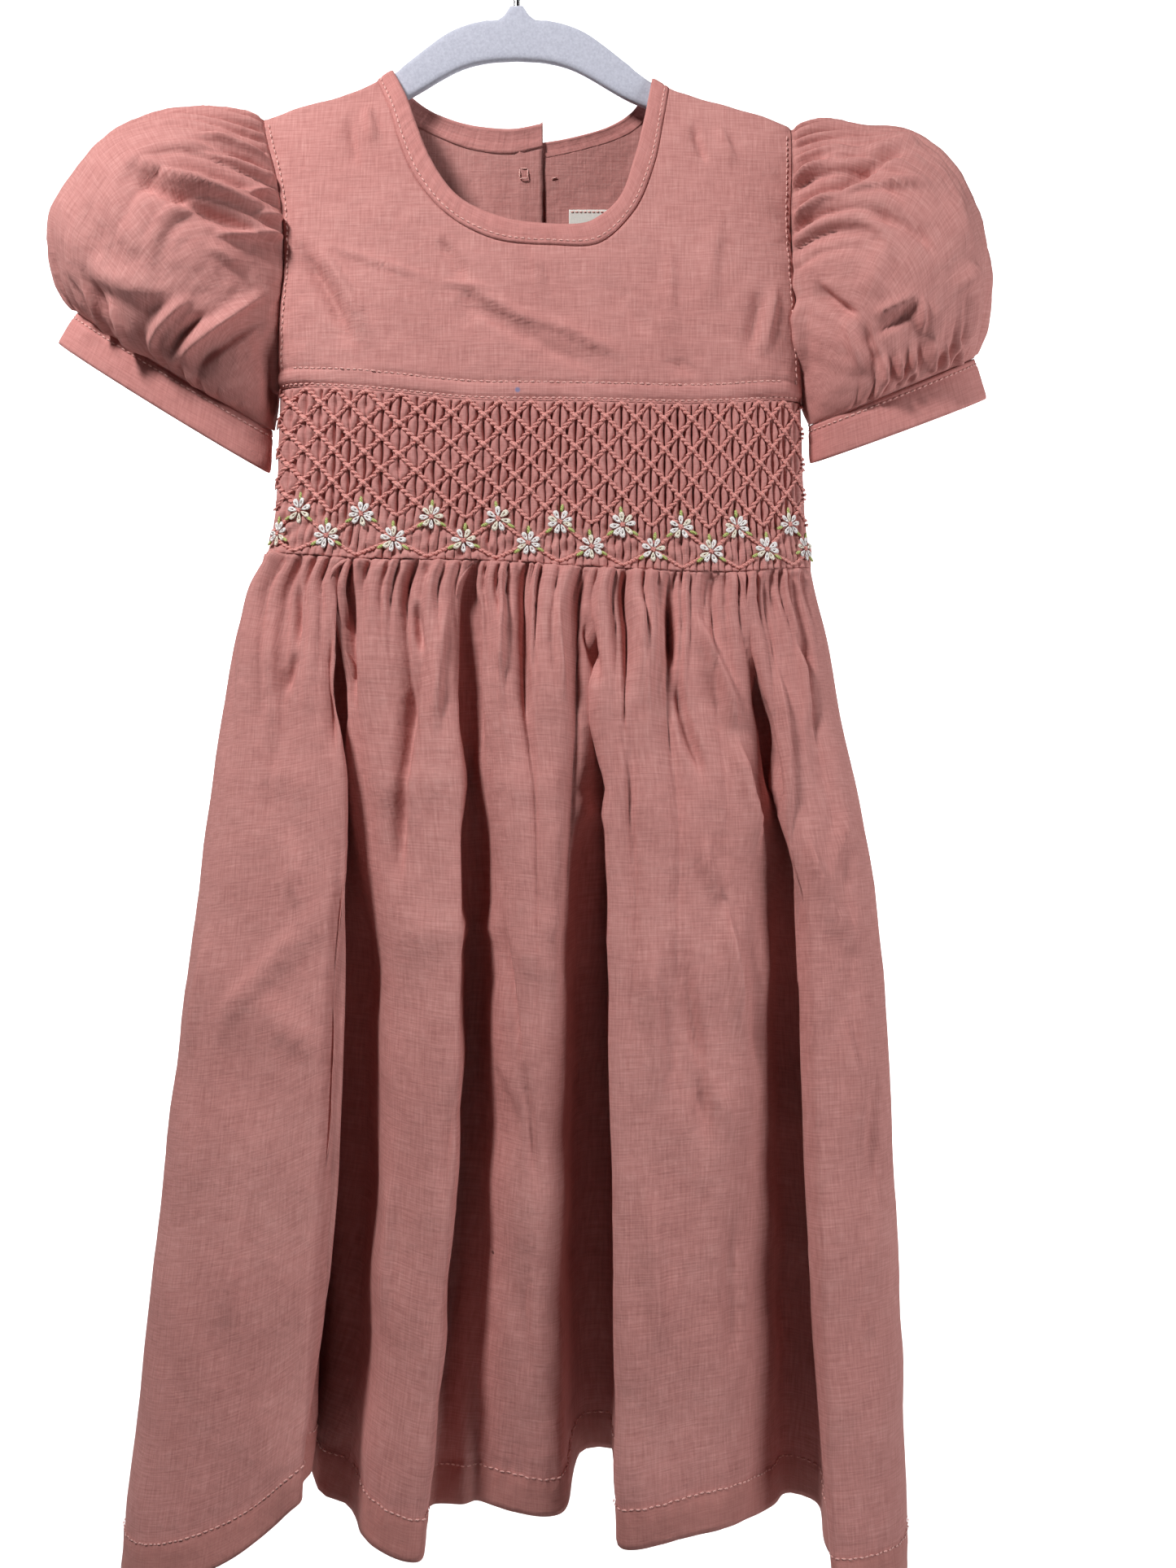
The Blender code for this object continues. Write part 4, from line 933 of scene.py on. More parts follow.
def creases(x, z, table, gain, row_gap=0.0):
    """Troughs (depth below 0) and ridges (above 0) as listed, steeper on their lower right side."""
    total = 0.0 * x
    for start_x, start_z, end_x, end_z, bow, width, depth in table:
        run = math.hypot(end_x - start_x, end_z - start_z)
        along = ((x - start_x) * (end_x - start_x) + (z - start_z) * (end_z - start_z)) / run**2
        aside = ((x - start_x) * (end_z - start_z) - (z - start_z) * (end_x - start_x)) / run
        aside = aside - bow * 4 * along * (1 - along)
        ends = eased(along / 0.35) * eased((1 - along) / 0.35)
        lit_side = 1 if (end_x - start_x) + (end_z - start_z) < 0 else -1
        least = SHADED_SIDE_LEAST + row_gap * abs(end_x - start_x) / run
        shaded = max(CREASE_SHARPNESS * width, least)
        reach = np.where(aside * lit_side > 0, max(width, least), shaded) * CREASE_SPREAD
        total = total + depth * gain * ends * np.exp(-((aside / reach) ** 2))
    return total


def fold_valleys(x, z, table):
    """Deep valleys beside the large folds, which run down to the hem."""
    total = 0.0 * x
    for top_x, top_z, hem_x, to_left, to_right, depth in table:
        down = (top_z - z) / (top_z - HEM_HEIGHT)
        aside = x - top_x - (hem_x - top_x) * down
        reach = np.where(aside < 0, to_left, to_right)
        total = total - depth * eased(down / 0.2) * np.exp(-((aside / reach) ** 2))
    return total


def groove(distance, width, depth):
    """The line that a row of stitching pulls into the cloth."""
    return -depth * np.exp(-((distance / width) ** 2))


class Gathers:
    """Uneven gathers that start at a seam and run out: round-backed, with narrow valleys."""

    def __init__(self, sizes, valleys=None):
        count, height, self.opening, reach, seed = sizes
        draw = np.random.default_rng(seed)
        steps = draw.uniform(0.5, 1.5, count)
        even_out = np.concatenate([[0], np.cumsum(steps)]) / steps.sum()
        self.valleys = even_out if valleys is None else np.array(valleys)
        self.heights = height * draw.uniform(0.5, 1.4, len(self.valleys) - 1)
        self.reaches = draw.uniform(*reach, len(self.valleys) - 1)
        self.height, self.usual_reach = height, sum(reach) / 2

    def at(self, share, drop):
        number = np.interp(share, self.valleys, np.arange(len(self.valleys)))
        which = np.clip(number.astype(int), 0, len(self.heights) - 1)
        back = np.abs(np.sin(np.pi * number)) ** 0.65
        drop = np.maximum(drop, 0.0)
        fade = np.exp(-((drop / self.reaches[which]) ** 1.6))
        level = 0.6 * self.height * np.exp(-((drop / self.usual_reach) ** 1.6))
        return (self.heights[which] * fade * back - level) * (1 - np.exp(-drop / self.opening))


class Skin:
    """The finished outer surface of one piece of cloth: read(u, v) gives points and normals."""

    def __init__(self, place, relief=None, side=None):
        self.place, self.relief, self.side = place, relief, side
        self.wraps = side is None
        u, v = np.meshgrid(even(48)[:-1], even(12))
        base = place(u, v)
        normal = normals_of(place, u, v, self.wraps)
        if self.wraps:
            outward = (normal * (base - base.mean(axis=1, keepdims=True))).sum()
        else:
            outward = normal[..., 1].sum() * side
        self.turn = np.sign(outward)

    def read(self, u, v, lift=0.0, raised=True):
        base = self.place(u, v)
        normal = normals_of(self.place, u, v, self.wraps) * self.turn
        height = self.relief(u, v, base) if self.relief and raised else 0.0
        points = base + normal * (np.asarray(height) + lift)[..., None]
        if self.side:
            points[..., 1] = self.side * np.maximum(self.side * points[..., 1], SEAM_GAP / 2)
        return points, normal


def lay_cloth(name, skin, columns, rows, cut, material, thickness=CLOTH):
    """A grid of cloth laid on a skin. Its UV map holds metres on the flat cut, or else across and up."""
    work = bmesh.new()
    work.loops.layers.uv.new("cloth")
    bmesh.ops.create_grid(
        work, x_segments=len(columns) - 1, y_segments=len(rows) - 1, size=0.5, calc_uvs=True
    )
    mesh = bpy.data.meshes.new(name)
    work.to_mesh(mesh)
    spots = np.empty(len(mesh.vertices) * 3)
    mesh.vertices.foreach_get("co", spots)
    u = np.interp(spots[0::3] + 0.5, even(len(columns) - 1), columns)
    v = np.interp(0.5 - spots[1::3], even(len(rows) - 1), rows)
    points, normal = skin.read(u, v)
    mesh.vertices.foreach_set("co", (points * MM).ravel())
    corner = np.empty(len(mesh.loops), int)
    mesh.loops.foreach_get("vertex_index", corner)
    flat = (points[corner][:, (0, 2)] * MM).ravel()
    if cut:
        mesh.uv_layers["cloth"].data.foreach_get("uv", flat)
        flat[0::2] = np.interp(flat[0::2], even(len(columns) - 1), columns) * cut[0]
        flat[1::2] = np.interp(1 - flat[1::2], even(len(rows) - 1), rows) * -cut[1]
    mesh.uv_layers["cloth"].data.foreach_set("uv", flat)
    mesh.update()
    faces = np.empty(len(mesh.polygons) * 3)
    mesh.polygons.foreach_get("normal", faces)
    first = np.empty(len(mesh.polygons), int)
    mesh.polygons.foreach_get("loop_start", first)
    if (faces.reshape(-1, 3) * normal[corner[first]]).sum() < 0:
        mesh.flip_normals()
    if skin.wraps:
        work.clear()
        work.from_mesh(mesh)
        bmesh.ops.remove_doubles(work, verts=work.verts, dist=1e-6)
        work.to_mesh(mesh)
    work.free()
    mesh.shade_smooth()
    piece = new_piece(name, mesh, material)
    wall = piece.modifiers.new("cloth thickness", "SOLIDIFY")
    wall.thickness = thickness * MM
    wall.offset = -1
    return piece


def new_piece(name, mesh, material):
    mesh.materials.append(material)
    piece = bpy.data.objects.new(name, mesh)
    bpy.context.scene.collection.objects.link(piece)
    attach(piece, "root")
    return piece


# Thread


def grain_matrix(centre, along, up, length, width, height):
    """Places a grain of thread: its length along one direction and its back to the cloth."""
    x = Vector(along).normalized()
    y = Vector(up).cross(x).normalized()
    z = x.cross(y)
    turn = Matrix((x, y, z)).transposed().to_4x4()
    size = Matrix.Diagonal((length / 2 * MM, width / 2 * MM, height / 2 * MM, 1))
    return Matrix.Translation(Vector(centre) * MM) @ turn @ size


def grain_shape(around, rings):
    work = bmesh.new()
    bmesh.ops.create_uvsphere(work, u_segments=around, v_segments=rings, radius=1)
    bmesh.ops.rotate(work, verts=work.verts, matrix=Matrix.Rotation(math.pi / 2, 3, "Y"))
    return kept_shape(work, "grain")


def petal_shape():
    """A loop of thread, nearly closed, and narrow at the end by the middle of the flower."""
    work = bmesh.new()
    ring = bmesh.ops.create_circle(work, segments=5, radius=0.4)
    bmesh.ops.rotate(work, verts=ring["verts"], matrix=Matrix.Rotation(math.pi / 2, 3, "X"))
    bmesh.ops.translate(work, verts=ring["verts"], vec=(0.6, 0, 0))
    bmesh.ops.spin(
        work, geom=work.edges[:], cent=(0, 0, 0), axis=(0, 0, 1), angle=2 * math.pi, steps=10, use_merge=True
    )
    for vert in work.verts:
        vert.co.y *= 0.62 + 0.38 * vert.co.x
    bmesh.ops.recalc_face_normals(work, faces=work.faces)
    return kept_shape(work, "petal loop")


def kept_shape(work, name):
    mesh = bpy.data.meshes.new(name)
    work.to_mesh(mesh)
    work.free()
    return mesh


def sewn(name, shape, places, material):
    """One copy of a small shape at each place, joined in one piece."""
    work = bmesh.new()
    for matrix in places:
        one = shape.copy()
        one.transform(matrix)
        work.from_mesh(one)
        bpy.data.meshes.remove(one)
    mesh = kept_shape(work, name)
    mesh.shade_smooth()
    piece = new_piece(name, mesh, material)
    return piece


def stitch_row(skin, u, v, pitch=3.2, length=2.4, width=0.95, lift=0.35):
    """Places of the stitches of a row of machine sewing that runs through shares u and v."""
    points, normals = skin.read(np.asarray(u, float), np.asarray(v, float), lift=lift)
    steps = np.linalg.norm(np.diff(points, axis=0), axis=1)
    along = np.concatenate([[0], np.cumsum(steps)])
    count = int(along[-1] / pitch)
    places = []
    for k in range(count):
        middle = (k + 0.5) * pitch
        ends = [[np.interp(at, along, points[:, n]) for n in range(3)] for at in (middle - 0.4, middle + 0.4)]
        ends = np.array(ends)
        up = [np.interp(middle, along, normals[:, n]) for n in range(3)]
        places.append(grain_matrix(ends.mean(axis=0), ends[1] - ends[0], up, length, width, width * 0.8))
    return places


# Materials


def linear(hex_colour):
    """A colour written as sRGB hex, turned to linear."""
    parts = [int(hex_colour[k : k + 2], 16) / 255 for k in (1, 3, 5)]
    return tuple(p / 12.92 if p <= 0.04045 else ((p + 0.055) / 1.055) ** 2.4 for p in parts) + (1.0,)


def add(tree, kind, feeds=None, **settings):
    """Adds a node; feeds are values or sockets for its inputs, settings are its own properties."""
    node = tree.nodes.new(kind)
    for key, value in settings.items():
        setattr(node, key, value)
    for key, value in (feeds or {}).items():
        if isinstance(value, bpy.types.NodeSocket):
            tree.links.new(value, node.inputs[key])
        else:
            node.inputs[key].default_value = value
    return node


def new_material(name, **sockets):
    material = bpy.data.materials.new(name)
    material.use_nodes = True
    shader = material.node_tree.nodes["Principled BSDF"]
    for key, value in sockets.items():
        shader.inputs[key.replace("_", " ").title().replace("Ior", "IOR")].default_value = value
    return material, material.node_tree, shader


def colour_steps(tree, factor, *stops):
    """A colour ramp: each stop is a place from 0 to 1 and an sRGB hex colour."""
    node = add(tree, "ShaderNodeValToRGB", {"Fac": factor})
    ramp = node.color_ramp
    for place, colour in stops[1:-1]:
        ramp.elements.new(place).color = linear(colour)
    ramp.elements[0].position, ramp.elements[-1].position = stops[0][0], stops[-1][0]
    ramp.elements[0].color, ramp.elements[-1].color = linear(stops[0][1]), linear(stops[-1][1])
    return node.outputs["Color"]


def weave(tree, uv, spacing, length):
    """Uneven threads: noise drawn out along each of the two directions of the cloth, in metres."""
    threads = []
    for scale in ((1 / spacing, 1 / length, 1), (1 / length, 1 / spacing, 1)):
        place = add(tree, "ShaderNodeMapping", {"Vector": uv, "Scale": scale}, vector_type="POINT")
        noise = add(
            tree, "ShaderNodeTexNoise",
            {"Vector": place.outputs["Vector"], "Scale": 1.0, "Detail": 2.0, "Roughness": 0.6},
        )
        threads.append(noise.outputs["Fac"])
    both = add(tree, "ShaderNodeMath", {0: threads[0], 1: threads[1]}, operation="ADD")
    return add(tree, "ShaderNodeMath", {0: both.outputs[0], 1: 0.5}, operation="MULTIPLY").outputs[0]


def cotton(name, dark, middle, light, marks=(), hem=None):
    """Piece-dyed cotton lawn, plain woven and washed soft: matt, slubby, with a fine crumple.

    The real threads are 0.25 mm apart, too fine to show, so the weave is drawn 0.8 mm coarse.
    A hem is given as its colour and the length of the flat cut: it is doubled, so it looks deeper.
    """
    material, tree, shader = new_material(
        name, roughness=0.9, ior=1.4, sheen_weight=0.08, sheen_roughness=0.4, sheen_tint=linear("#E8B0A4")
    )
    uv = add(tree, "ShaderNodeUVMap", uv_map="cloth").outputs["UV"]
    spot = add(tree, "ShaderNodeTexCoord").outputs["Object"]
    threads = weave(tree, uv, 0.0008, 0.014)
    wash = add(
        tree, "ShaderNodeTexNoise", {"Vector": spot, "Scale": 16.0, "Detail": 4.0, "Roughness": 0.55}
    ).outputs["Fac"]
    tone = add(tree, "ShaderNodeMix", {0: 0.22, 2: threads, 3: wash}, data_type="FLOAT").outputs[0]
    colour = colour_steps(tree, tone, (0.3, dark), (0.5, middle), (0.7, light))
    for x, z, radius, mark in marks:
        level = add(
            tree, "ShaderNodeMapping",
            {"Vector": spot, "Location": (-x * MM, 0, -z * MM), "Scale": (1, 0, 1)},
        )
        away = add(tree, "ShaderNodeVectorMath", {0: level.outputs["Vector"]}, operation="LENGTH")
        share = add(
            tree, "ShaderNodeMapRange",
            {"Value": away.outputs["Value"], "From Min": radius * 0.55 * MM, "From Max": radius * MM,
             "To Min": 0.75, "To Max": 0.0},
        )
        colour = mixed_colour(tree, share.outputs[0], colour, linear(mark))
    if hem:
        deeper, cut = hem
        fold = HEM_DEPTH / SKIRT_LENGTH * cut - cut
        height = add(tree, "ShaderNodeSeparateXYZ", {"Vector": uv}).outputs["Y"]
        share = add(
            tree, "ShaderNodeMapRange",
            {"Value": height, "From Min": fold - 0.0004, "From Max": fold, "To Min": 0.5, "To Max": 0.0},
        )
        colour = mixed_colour(tree, share.outputs[0], colour, linear(deeper))
    tree.links.new(colour, shader.inputs["Base Color"])
    crumple = add(
        tree, "ShaderNodeTexNoise", {"Vector": spot, "Scale": 110.0, "Detail": 3.0, "Roughness": 0.55}
    ).outputs["Fac"]
    soft = add(tree, "ShaderNodeBump", {"Height": crumple, "Strength": 0.6, "Distance": 0.0016})
    fine = add(
        tree, "ShaderNodeBump",
        {"Height": threads, "Strength": 0.5, "Distance": 0.0005, "Normal": soft.outputs["Normal"]},
    )
    tree.links.new(fine.outputs["Normal"], shader.inputs["Normal"])
    return material


def mixed_colour(tree, share, first, second):
    mix = add(tree, "ShaderNodeMix", {0: share, 6: first, 7: second}, data_type="RGBA")
    return mix.outputs[2]


def thread(name, dark, light):
    """Stranded cotton: a soft gloss, and a twist that shows as fine slanting lines."""
    material, tree, shader = new_material(
        name, roughness=0.55, ior=1.5, sheen_weight=0.25, sheen_roughness=0.35
    )
    spot = add(tree, "ShaderNodeTexCoord").outputs["Object"]
    twist = add(
        tree, "ShaderNodeTexWave",
        {"Vector": spot, "Scale": 450.0, "Distortion": 2.5, "Detail": 1.0},
        wave_type="BANDS", bands_direction="DIAGONAL",
    )
    tree.links.new(colour_steps(tree, twist.outputs["Fac"], (0.1, dark), (0.8, light)), shader.inputs["Base Color"])
    bump = add(tree, "ShaderNodeBump", {"Height": twist.outputs["Fac"], "Strength": 0.5, "Distance": 0.0003})
    tree.links.new(bump.outputs["Normal"], shader.inputs["Normal"])
    return material


def flock():
    """Nylon flock on plastic: short fibres stand up all over it, so its edges look pale and soft."""
    material, tree, shader = new_material(
        "nylon_flock_on_plastic", roughness=0.95, ior=1.5, sheen_weight=0.5, sheen_roughness=0.4,
        sheen_tint=linear("#DADCEA"),
    )
    spot = add(tree, "ShaderNodeTexCoord").outputs["Object"]
    fibres = add(tree, "ShaderNodeTexNoise", {"Vector": spot, "Scale": 900.0, "Detail": 2.0}).outputs["Fac"]
    tree.links.new(
        colour_steps(tree, fibres, (0.3, "#B3B5C4"), (0.7, "#C4C6D4")), shader.inputs["Base Color"]
    )
    bump = add(tree, "ShaderNodeBump", {"Height": fibres, "Strength": 0.3, "Distance": 0.0004})
    tree.links.new(bump.outputs["Normal"], shader.inputs["Normal"])
    return material


def steel_wire():
    """Chrome-plated steel wire, drawn and polished: bright, with faint lines along it."""
    material, tree, shader = new_material(
        "chrome_plated_steel_wire", base_color=linear("#D4D4D6"), metallic=1.0, roughness=0.2
    )
    spot = add(tree, "ShaderNodeTexCoord").outputs["Object"]
    draw = add(tree, "ShaderNodeTexNoise", {"Vector": spot, "Scale": 700.0, "Detail": 3.0}).outputs["Fac"]
    rough = add(tree, "ShaderNodeMapRange", {"Value": draw, "To Min": 0.12, "To Max": 0.34}).outputs[0]
    tree.links.new(rough, shader.inputs["Roughness"])
    return material


def resin():
    """Polyester button resin, turned and tumbled: a low shine with a slight cloud in its colour."""
    material, tree, shader = new_material("polyester_button_resin", roughness=0.32, ior=1.55)
    spot = add(tree, "ShaderNodeTexCoord").outputs["Object"]
    cloud = add(tree, "ShaderNodeTexNoise", {"Vector": spot, "Scale": 220.0, "Detail": 3.0}).outputs["Fac"]
    tree.links.new(
        colour_steps(tree, cloud, (0.35, "#A8675D"), (0.65, "#C58C80")), shader.inputs["Base Color"]
    )
    return material


def woven_tape():
    """White polyester satin tape, woven in fine ribs: smooth, with a weak shine across the ribs."""
    material, tree, shader = new_material(
        "white_satin_tape", roughness=0.5, ior=1.5, sheen_weight=0.2, sheen_roughness=0.3
    )
    uv = add(tree, "ShaderNodeUVMap", uv_map="cloth").outputs["UV"]
    threads = weave(tree, uv, 0.0004, 0.004)
    tree.links.new(
        colour_steps(tree, threads, (0.3, "#D9D7CF"), (0.7, "#F2F0EA")), shader.inputs["Base Color"]
    )
    bump = add(tree, "ShaderNodeBump", {"Height": threads, "Strength": 0.3, "Distance": 0.0002})
    tree.links.new(bump.outputs["Normal"], shader.inputs["Normal"])
    return material


def studio_paper():
    """Matt white background paper, a little mottled."""
    material, tree, shader = new_material("matt_white_paper", roughness=0.95)
    spot = add(tree, "ShaderNodeTexCoord").outputs["Object"]
    mottle = add(tree, "ShaderNodeTexNoise", {"Vector": spot, "Scale": 3.0, "Detail": 2.0}).outputs["Fac"]
    tree.links.new(
        colour_steps(tree, mottle, (0.3, "#F4F4F5"), (0.7, "#FBFBFB")), shader.inputs["Base Color"]
    )
    return material


# Yoke, back and bindings


def yoke_relief(u, v, base):
    x, z = base[..., 0], base[..., 2]
    above_seam = z - yoke_seam_height(x)
    total = creases(x, z, YOKE_CREASES, YOKE_CREASE_GAIN) + 0.35 * ripples(x, z, 38.0, 11) + 0.14 * ripples(x, z, 13.0, 12)
    total = total * eased(v / 0.08) * eased(above_seam / 6.0 + 0.15)
    from_armhole = np.minimum(x - right_edge(z), left_edge(z) - x)
    dimples = 0.45 * np.sin(z / 1.5 + 2 * np.sin(z / 7)) * np.exp(-np.maximum(from_armhole, 0) / 6.0)
    puckers = 0.3 * np.sin(x / 1.6 + 2 * np.sin(x / 12)) * np.exp(-(((above_seam - 11) / 7.0) ** 2))
    total = total + (dimples + puckers) * eased(from_armhole / 1.5) * eased(v / 0.08)
    for row in YOKE_STITCH_ROWS:
        total = total + groove(above_seam - row, 1.0, 0.8)
    return total + 0.35 * np.exp(-(((above_seam - sum(YOKE_STITCH_ROWS) / 2) / 3.0) ** 2))


def yoke_skin():
    _, seam = neck_curves(FRONT_NECK)
    armhole_right, armhole_left = (armhole_edge(side, 2 * SEAM_GAP) for side in ("right", "left"))
    lower_edge = lambda share: seam_points(yoke_seam_height, share) + np.array([0.0, SEAM_GAP])
    outer_edge = joined(
        (YOKE_CORNER, armhole_right),
        (1 - 2 * YOKE_CORNER, lower_edge),
        (YOKE_CORNER, lambda share: armhole_left(1 - share)),
    )
    shoulders = [
        line_to(start[0], TIP_X[side], lambda x: shoulder_height(np.abs(x)))
        for side, start in (("right", FRONT_NECK[0][2:]), ("left", FRONT_NECK[-1][2:]))
    ]
    plane = patch(seam, outer_edge, *shoulders)
    return Skin(lambda u, v: on_body(plane(u, v), FRONT), yoke_relief, FRONT)


def binding_relief(u, v, base):
    """The folded binding is round across, with the stitching near its lower edge."""
    x, z = base[..., 0], base[..., 2]
    across = v / BINDING_REACH
    round_top = 0.6 * np.sqrt(np.clip(1 - (2 * across - 1) ** 4, 0, 1))
    pucker = 0.18 * np.sin(u * 260.0 + 2 * np.sin(u * 40)) * np.sin(np.pi * np.clip(across, 0, 1))
    return round_top + groove(v - BINDING_STITCH, 0.08, 0.6) + pucker + 0.1 * ripples(x, z, 9.0, 21)


def front_binding_skin():
    plane = binding_plane(FRONT_NECK)
    return Skin(lambda u, v: on_body(plane(u, v), FRONT, inwards=-BINDING_EXTRA), binding_relief, FRONT)


def back_relief(side):
    def relief(u, v, base):
        x, z = base[..., 0], base[..., 2]
        total = creases(x, z, BACK_CREASES[side], YOKE_CREASE_GAIN) + 0.35 * ripples(x, z, 45.0, 31) + 0.1 * ripples(x, z, 14.0, 32)
        total = total * eased(u / 0.06) * eased(v / 0.05) * eased((1 - v) / 0.06)
        from_edge = np.abs(x - PLACKET_EDGE[side])
        return total + groove(from_edge - PLACKET_STITCH, 1.2, 0.6)

    return relief


def back_skin(side):
    _, seam = neck_curves(BACK_NECK[side])
    shoulder = line_to(BACK_NECK[side][-1][2], TIP_X[side], lambda x: shoulder_height(np.abs(x)))
    top = joined((BACK_CORNER, seam), (1 - BACK_CORNER, shoulder))
    edge_x = PLACKET_EDGE[side]
    waist = lambda x: waist_seam_height(x) + SEAM_GAP / 2
    waist_x = side_edge(side, float(waist_seam_height(TIP_X[side])))
    bottom = line_to(edge_x, waist_x, waist)
    top_z = BACK_NECK[side][0][3]
    centre_z = float(waist(edge_x))
    centre = lambda v: np.stack([edge_x + 0 * v, top_z + (centre_z - top_z) * v], axis=-1)
    tip_z, waist_z = tip_height(side), float(waist(waist_x))

    def outer_side(v):
        z = tip_z + (waist_z - tip_z) * v
        return np.stack([side_edge(side, z), z], axis=-1)

    return Skin(back_surface(patch(top, bottom, centre, outer_side), side), back_relief(side), BACK)


def back_binding_skin(side):
    extra = BINDING_EXTRA if side == "left" else 0.0
    return Skin(back_surface(binding_plane(BACK_NECK[side]), side, extra), binding_relief, BACK)


def make_bodice(rose, trim):
    """Yoke, backs and neck bindings. Returns their skins by name, for the sewing."""
    skins = {"front_yoke": yoke_skin(), "front_neck_binding": front_binding_skin()}
    corners = (YOKE_CORNER, 1 - YOKE_CORNER)
    columns = shares(180, (0, 1, *corners), 7.0, 0.012, corners)
    yoke = lay_cloth("front_yoke_cloth", skins["front_yoke"], columns, shares(60, (1,), 2.0, 0.1), None, rose)
    finish_cloth("front_yoke")
    binding = lay_cloth(
        "front_neck_binding_cloth", skins["front_neck_binding"], shares(230, (0, 1), 7.0, 0.012),
        even(8) * BINDING_REACH, (0.33, 0.0105), trim, thickness=BINDING_WALL,
    )
    finish_cloth("front_neck_binding")
    for side in ("right", "left"):
        name = f"back_{side}"
        skins[name] = back_skin(side)
        columns = shares(90, (BACK_CORNER - 0.01, 1), 6.0, 0.02, (BACK_CORNER,))
        back = lay_cloth(
            f"{name}_cloth", skins[name], columns, shares(72, (0, 0.61), 7.0, 0.015), None, rose
        )
        finish_cloth(name)
        name = f"back_neck_binding_{side}"
        skins[name] = back_binding_skin(side)
        binding = lay_cloth(
            f"{name}_cloth", skins[name], shares(110, (1,), 7.0, 0.02), even(8) * BINDING_REACH, (0.09, 0.0105), trim,
            thickness=BINDING_WALL if side == "left" else CLOTH * 2,
        )
        finish_cloth(name)
    return skins


def finish_cloth(node):
    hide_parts(node)


# Smocked panel

share_at_diamond = smooth([row[0] for row in LATTICE], [row[1] for row in LATTICE])
LATTICE_FINE = np.linspace(0, DIAMONDS, 1801)


def diamond_at(u):
    """Diamonds from the right edge, for a share of the panel's width."""
    return np.interp(u, share_at_diamond(LATTICE_FINE), LATTICE_FINE)


def half_row_at(v):
    """Half diamonds below the yoke seam; the last two, in the border, are twice as wide."""
    return np.interp(v, BORDER_SHARES, BORDER_HALF_ROWS)


def share_at_half_row(k):
    return np.interp(k, BORDER_HALF_ROWS, BORDER_SHARES)


def lattice_distance(d, k):
    """Distance to the nearest stitched line, in diamonds: at most 0.5, in the middle of one."""
    falling, rising = d - k / 2, d + k / 2
    small = np.minimum(np.abs(falling - np.round(falling)), np.abs(rising - np.round(rising)))
    from_odd = np.abs(np.mod(d, 2) - 1)
    border = 0.55 * np.minimum(np.abs(k - 8 - from_odd), np.abs(k - 10 + from_odd))
    share = eased((k - 7.9) / 0.3)
    return small * (1 - share) + border * share


def reed_profile(reed):
    """Round-backed pleats with narrow valleys at whole numbers."""
    return np.abs(np.sin(np.pi * reed)) ** 0.62


def smocking_height(d, k, x, z, share):
    """Height of the pleats, d diamonds across and k half rows down: puffed inside each diamond."""
    puff = eased(lattice_distance(d, k) / 0.27)
    falling = np.floor(d - k / 2).astype(int) % 32
    rising = np.floor(d + k / 2).astype(int) % 32
    openness = np.clip(PUFF_OPENNESS[falling, rising] * (0.7 + 0.6 * share), 0.15, 1.0)
    reed = REEDS_PER_DIAMOND * d
    full = REED_FULLNESS[np.clip(reed.astype(int), 0, len(REED_FULLNESS) - 1)]
    back = reed_profile(reed)
    in_border = eased((k - 7.8) / 0.8)
    valley = (1.5 + 2.6 * puff * openness) * (1 - back) * (1 - 0.55 * in_border)
    crumple = 0.35 * ripples(x, z, 7.5, 41) * puff * (1.3 - 0.8 * share + 1.6 * in_border)
    return 0.05 + 1.1 * puff * (0.55 + 0.45 * full * back) - valley + crumple


def smocking_relief(u, v, base):
    x, z = base[..., 0], base[..., 2]
    ends = np.minimum(1, np.minimum(u, 1 - u) * 60)
    waist = WAIST_ROUND * np.exp(-(1 - v) / 0.07)
    return (smocking_height(diamond_at(u), half_row_at(v), x, z, u) * eased(v / 0.02 + 0.1) + waist) * ends


def panel_place(u, v):
    """The panel, with the pleats drawn towards the crossings of the stitched lines."""
    d, k = diamond_at(u), half_row_at(v)
    in_trellis = eased((8.2 - k) / 0.6)
    pulled = d - PLEAT_PULL * np.sin(2 * np.pi * d) * np.cos(np.pi * k) * in_trellis
    wander = 0.03 * (1 - u) * np.sin(k * 2.3 + d * 5.1) * np.sin(np.pi * np.clip(u, 0, 1))
    pulled = pulled + wander * eased((10.0 - k) / 1.5)
    return on_body(panel_plane(share_at_diamond(np.clip(pulled, 0, DIAMONDS)), v), FRONT)


def smocking_skins():
    shaped = Skin(panel_place, smocking_relief, FRONT)
    plain = Skin(lambda u, v: on_body(panel_plane(u, v), FRONT), None, FRONT)
    return shaped, plain


def lattice_stitch(plain, start, end, width, lift, lengthen=1.0, slant=0.0):
    """One stitch between two places of the lattice, each in diamonds across and half rows down."""
    places = np.array([start, end], float)
    u = share_at_diamond(np.clip(places[:, 0], 0, DIAMONDS))
    v = share_at_half_row(places[:, 1])
    points, normals = plain.read(u, v, lift=lift)
    along = points[1] - points[0]
    length = np.linalg.norm(along) * lengthen
    up = normals.mean(axis=0)
    aside = np.cross(up, along)
    return grain_matrix(points.mean(axis=0), along + aside * slant, up, length, width, width * 0.85)


def rope_run(plain, start, end, count, width, slant, lengthen=1.5):
    """A corded line: stitches that overlap and slant the same way."""
    start, end = np.array(start, float), np.array(end, float)
    steps = np.linspace(0, 1, count + 1)
    run = end - start
    places = []
    for a, b in zip(steps, steps[1:]):
        places.append(lattice_stitch(plain, start + run * a, start + run * b, width, THREAD_LIFT, lengthen, slant))
    return places


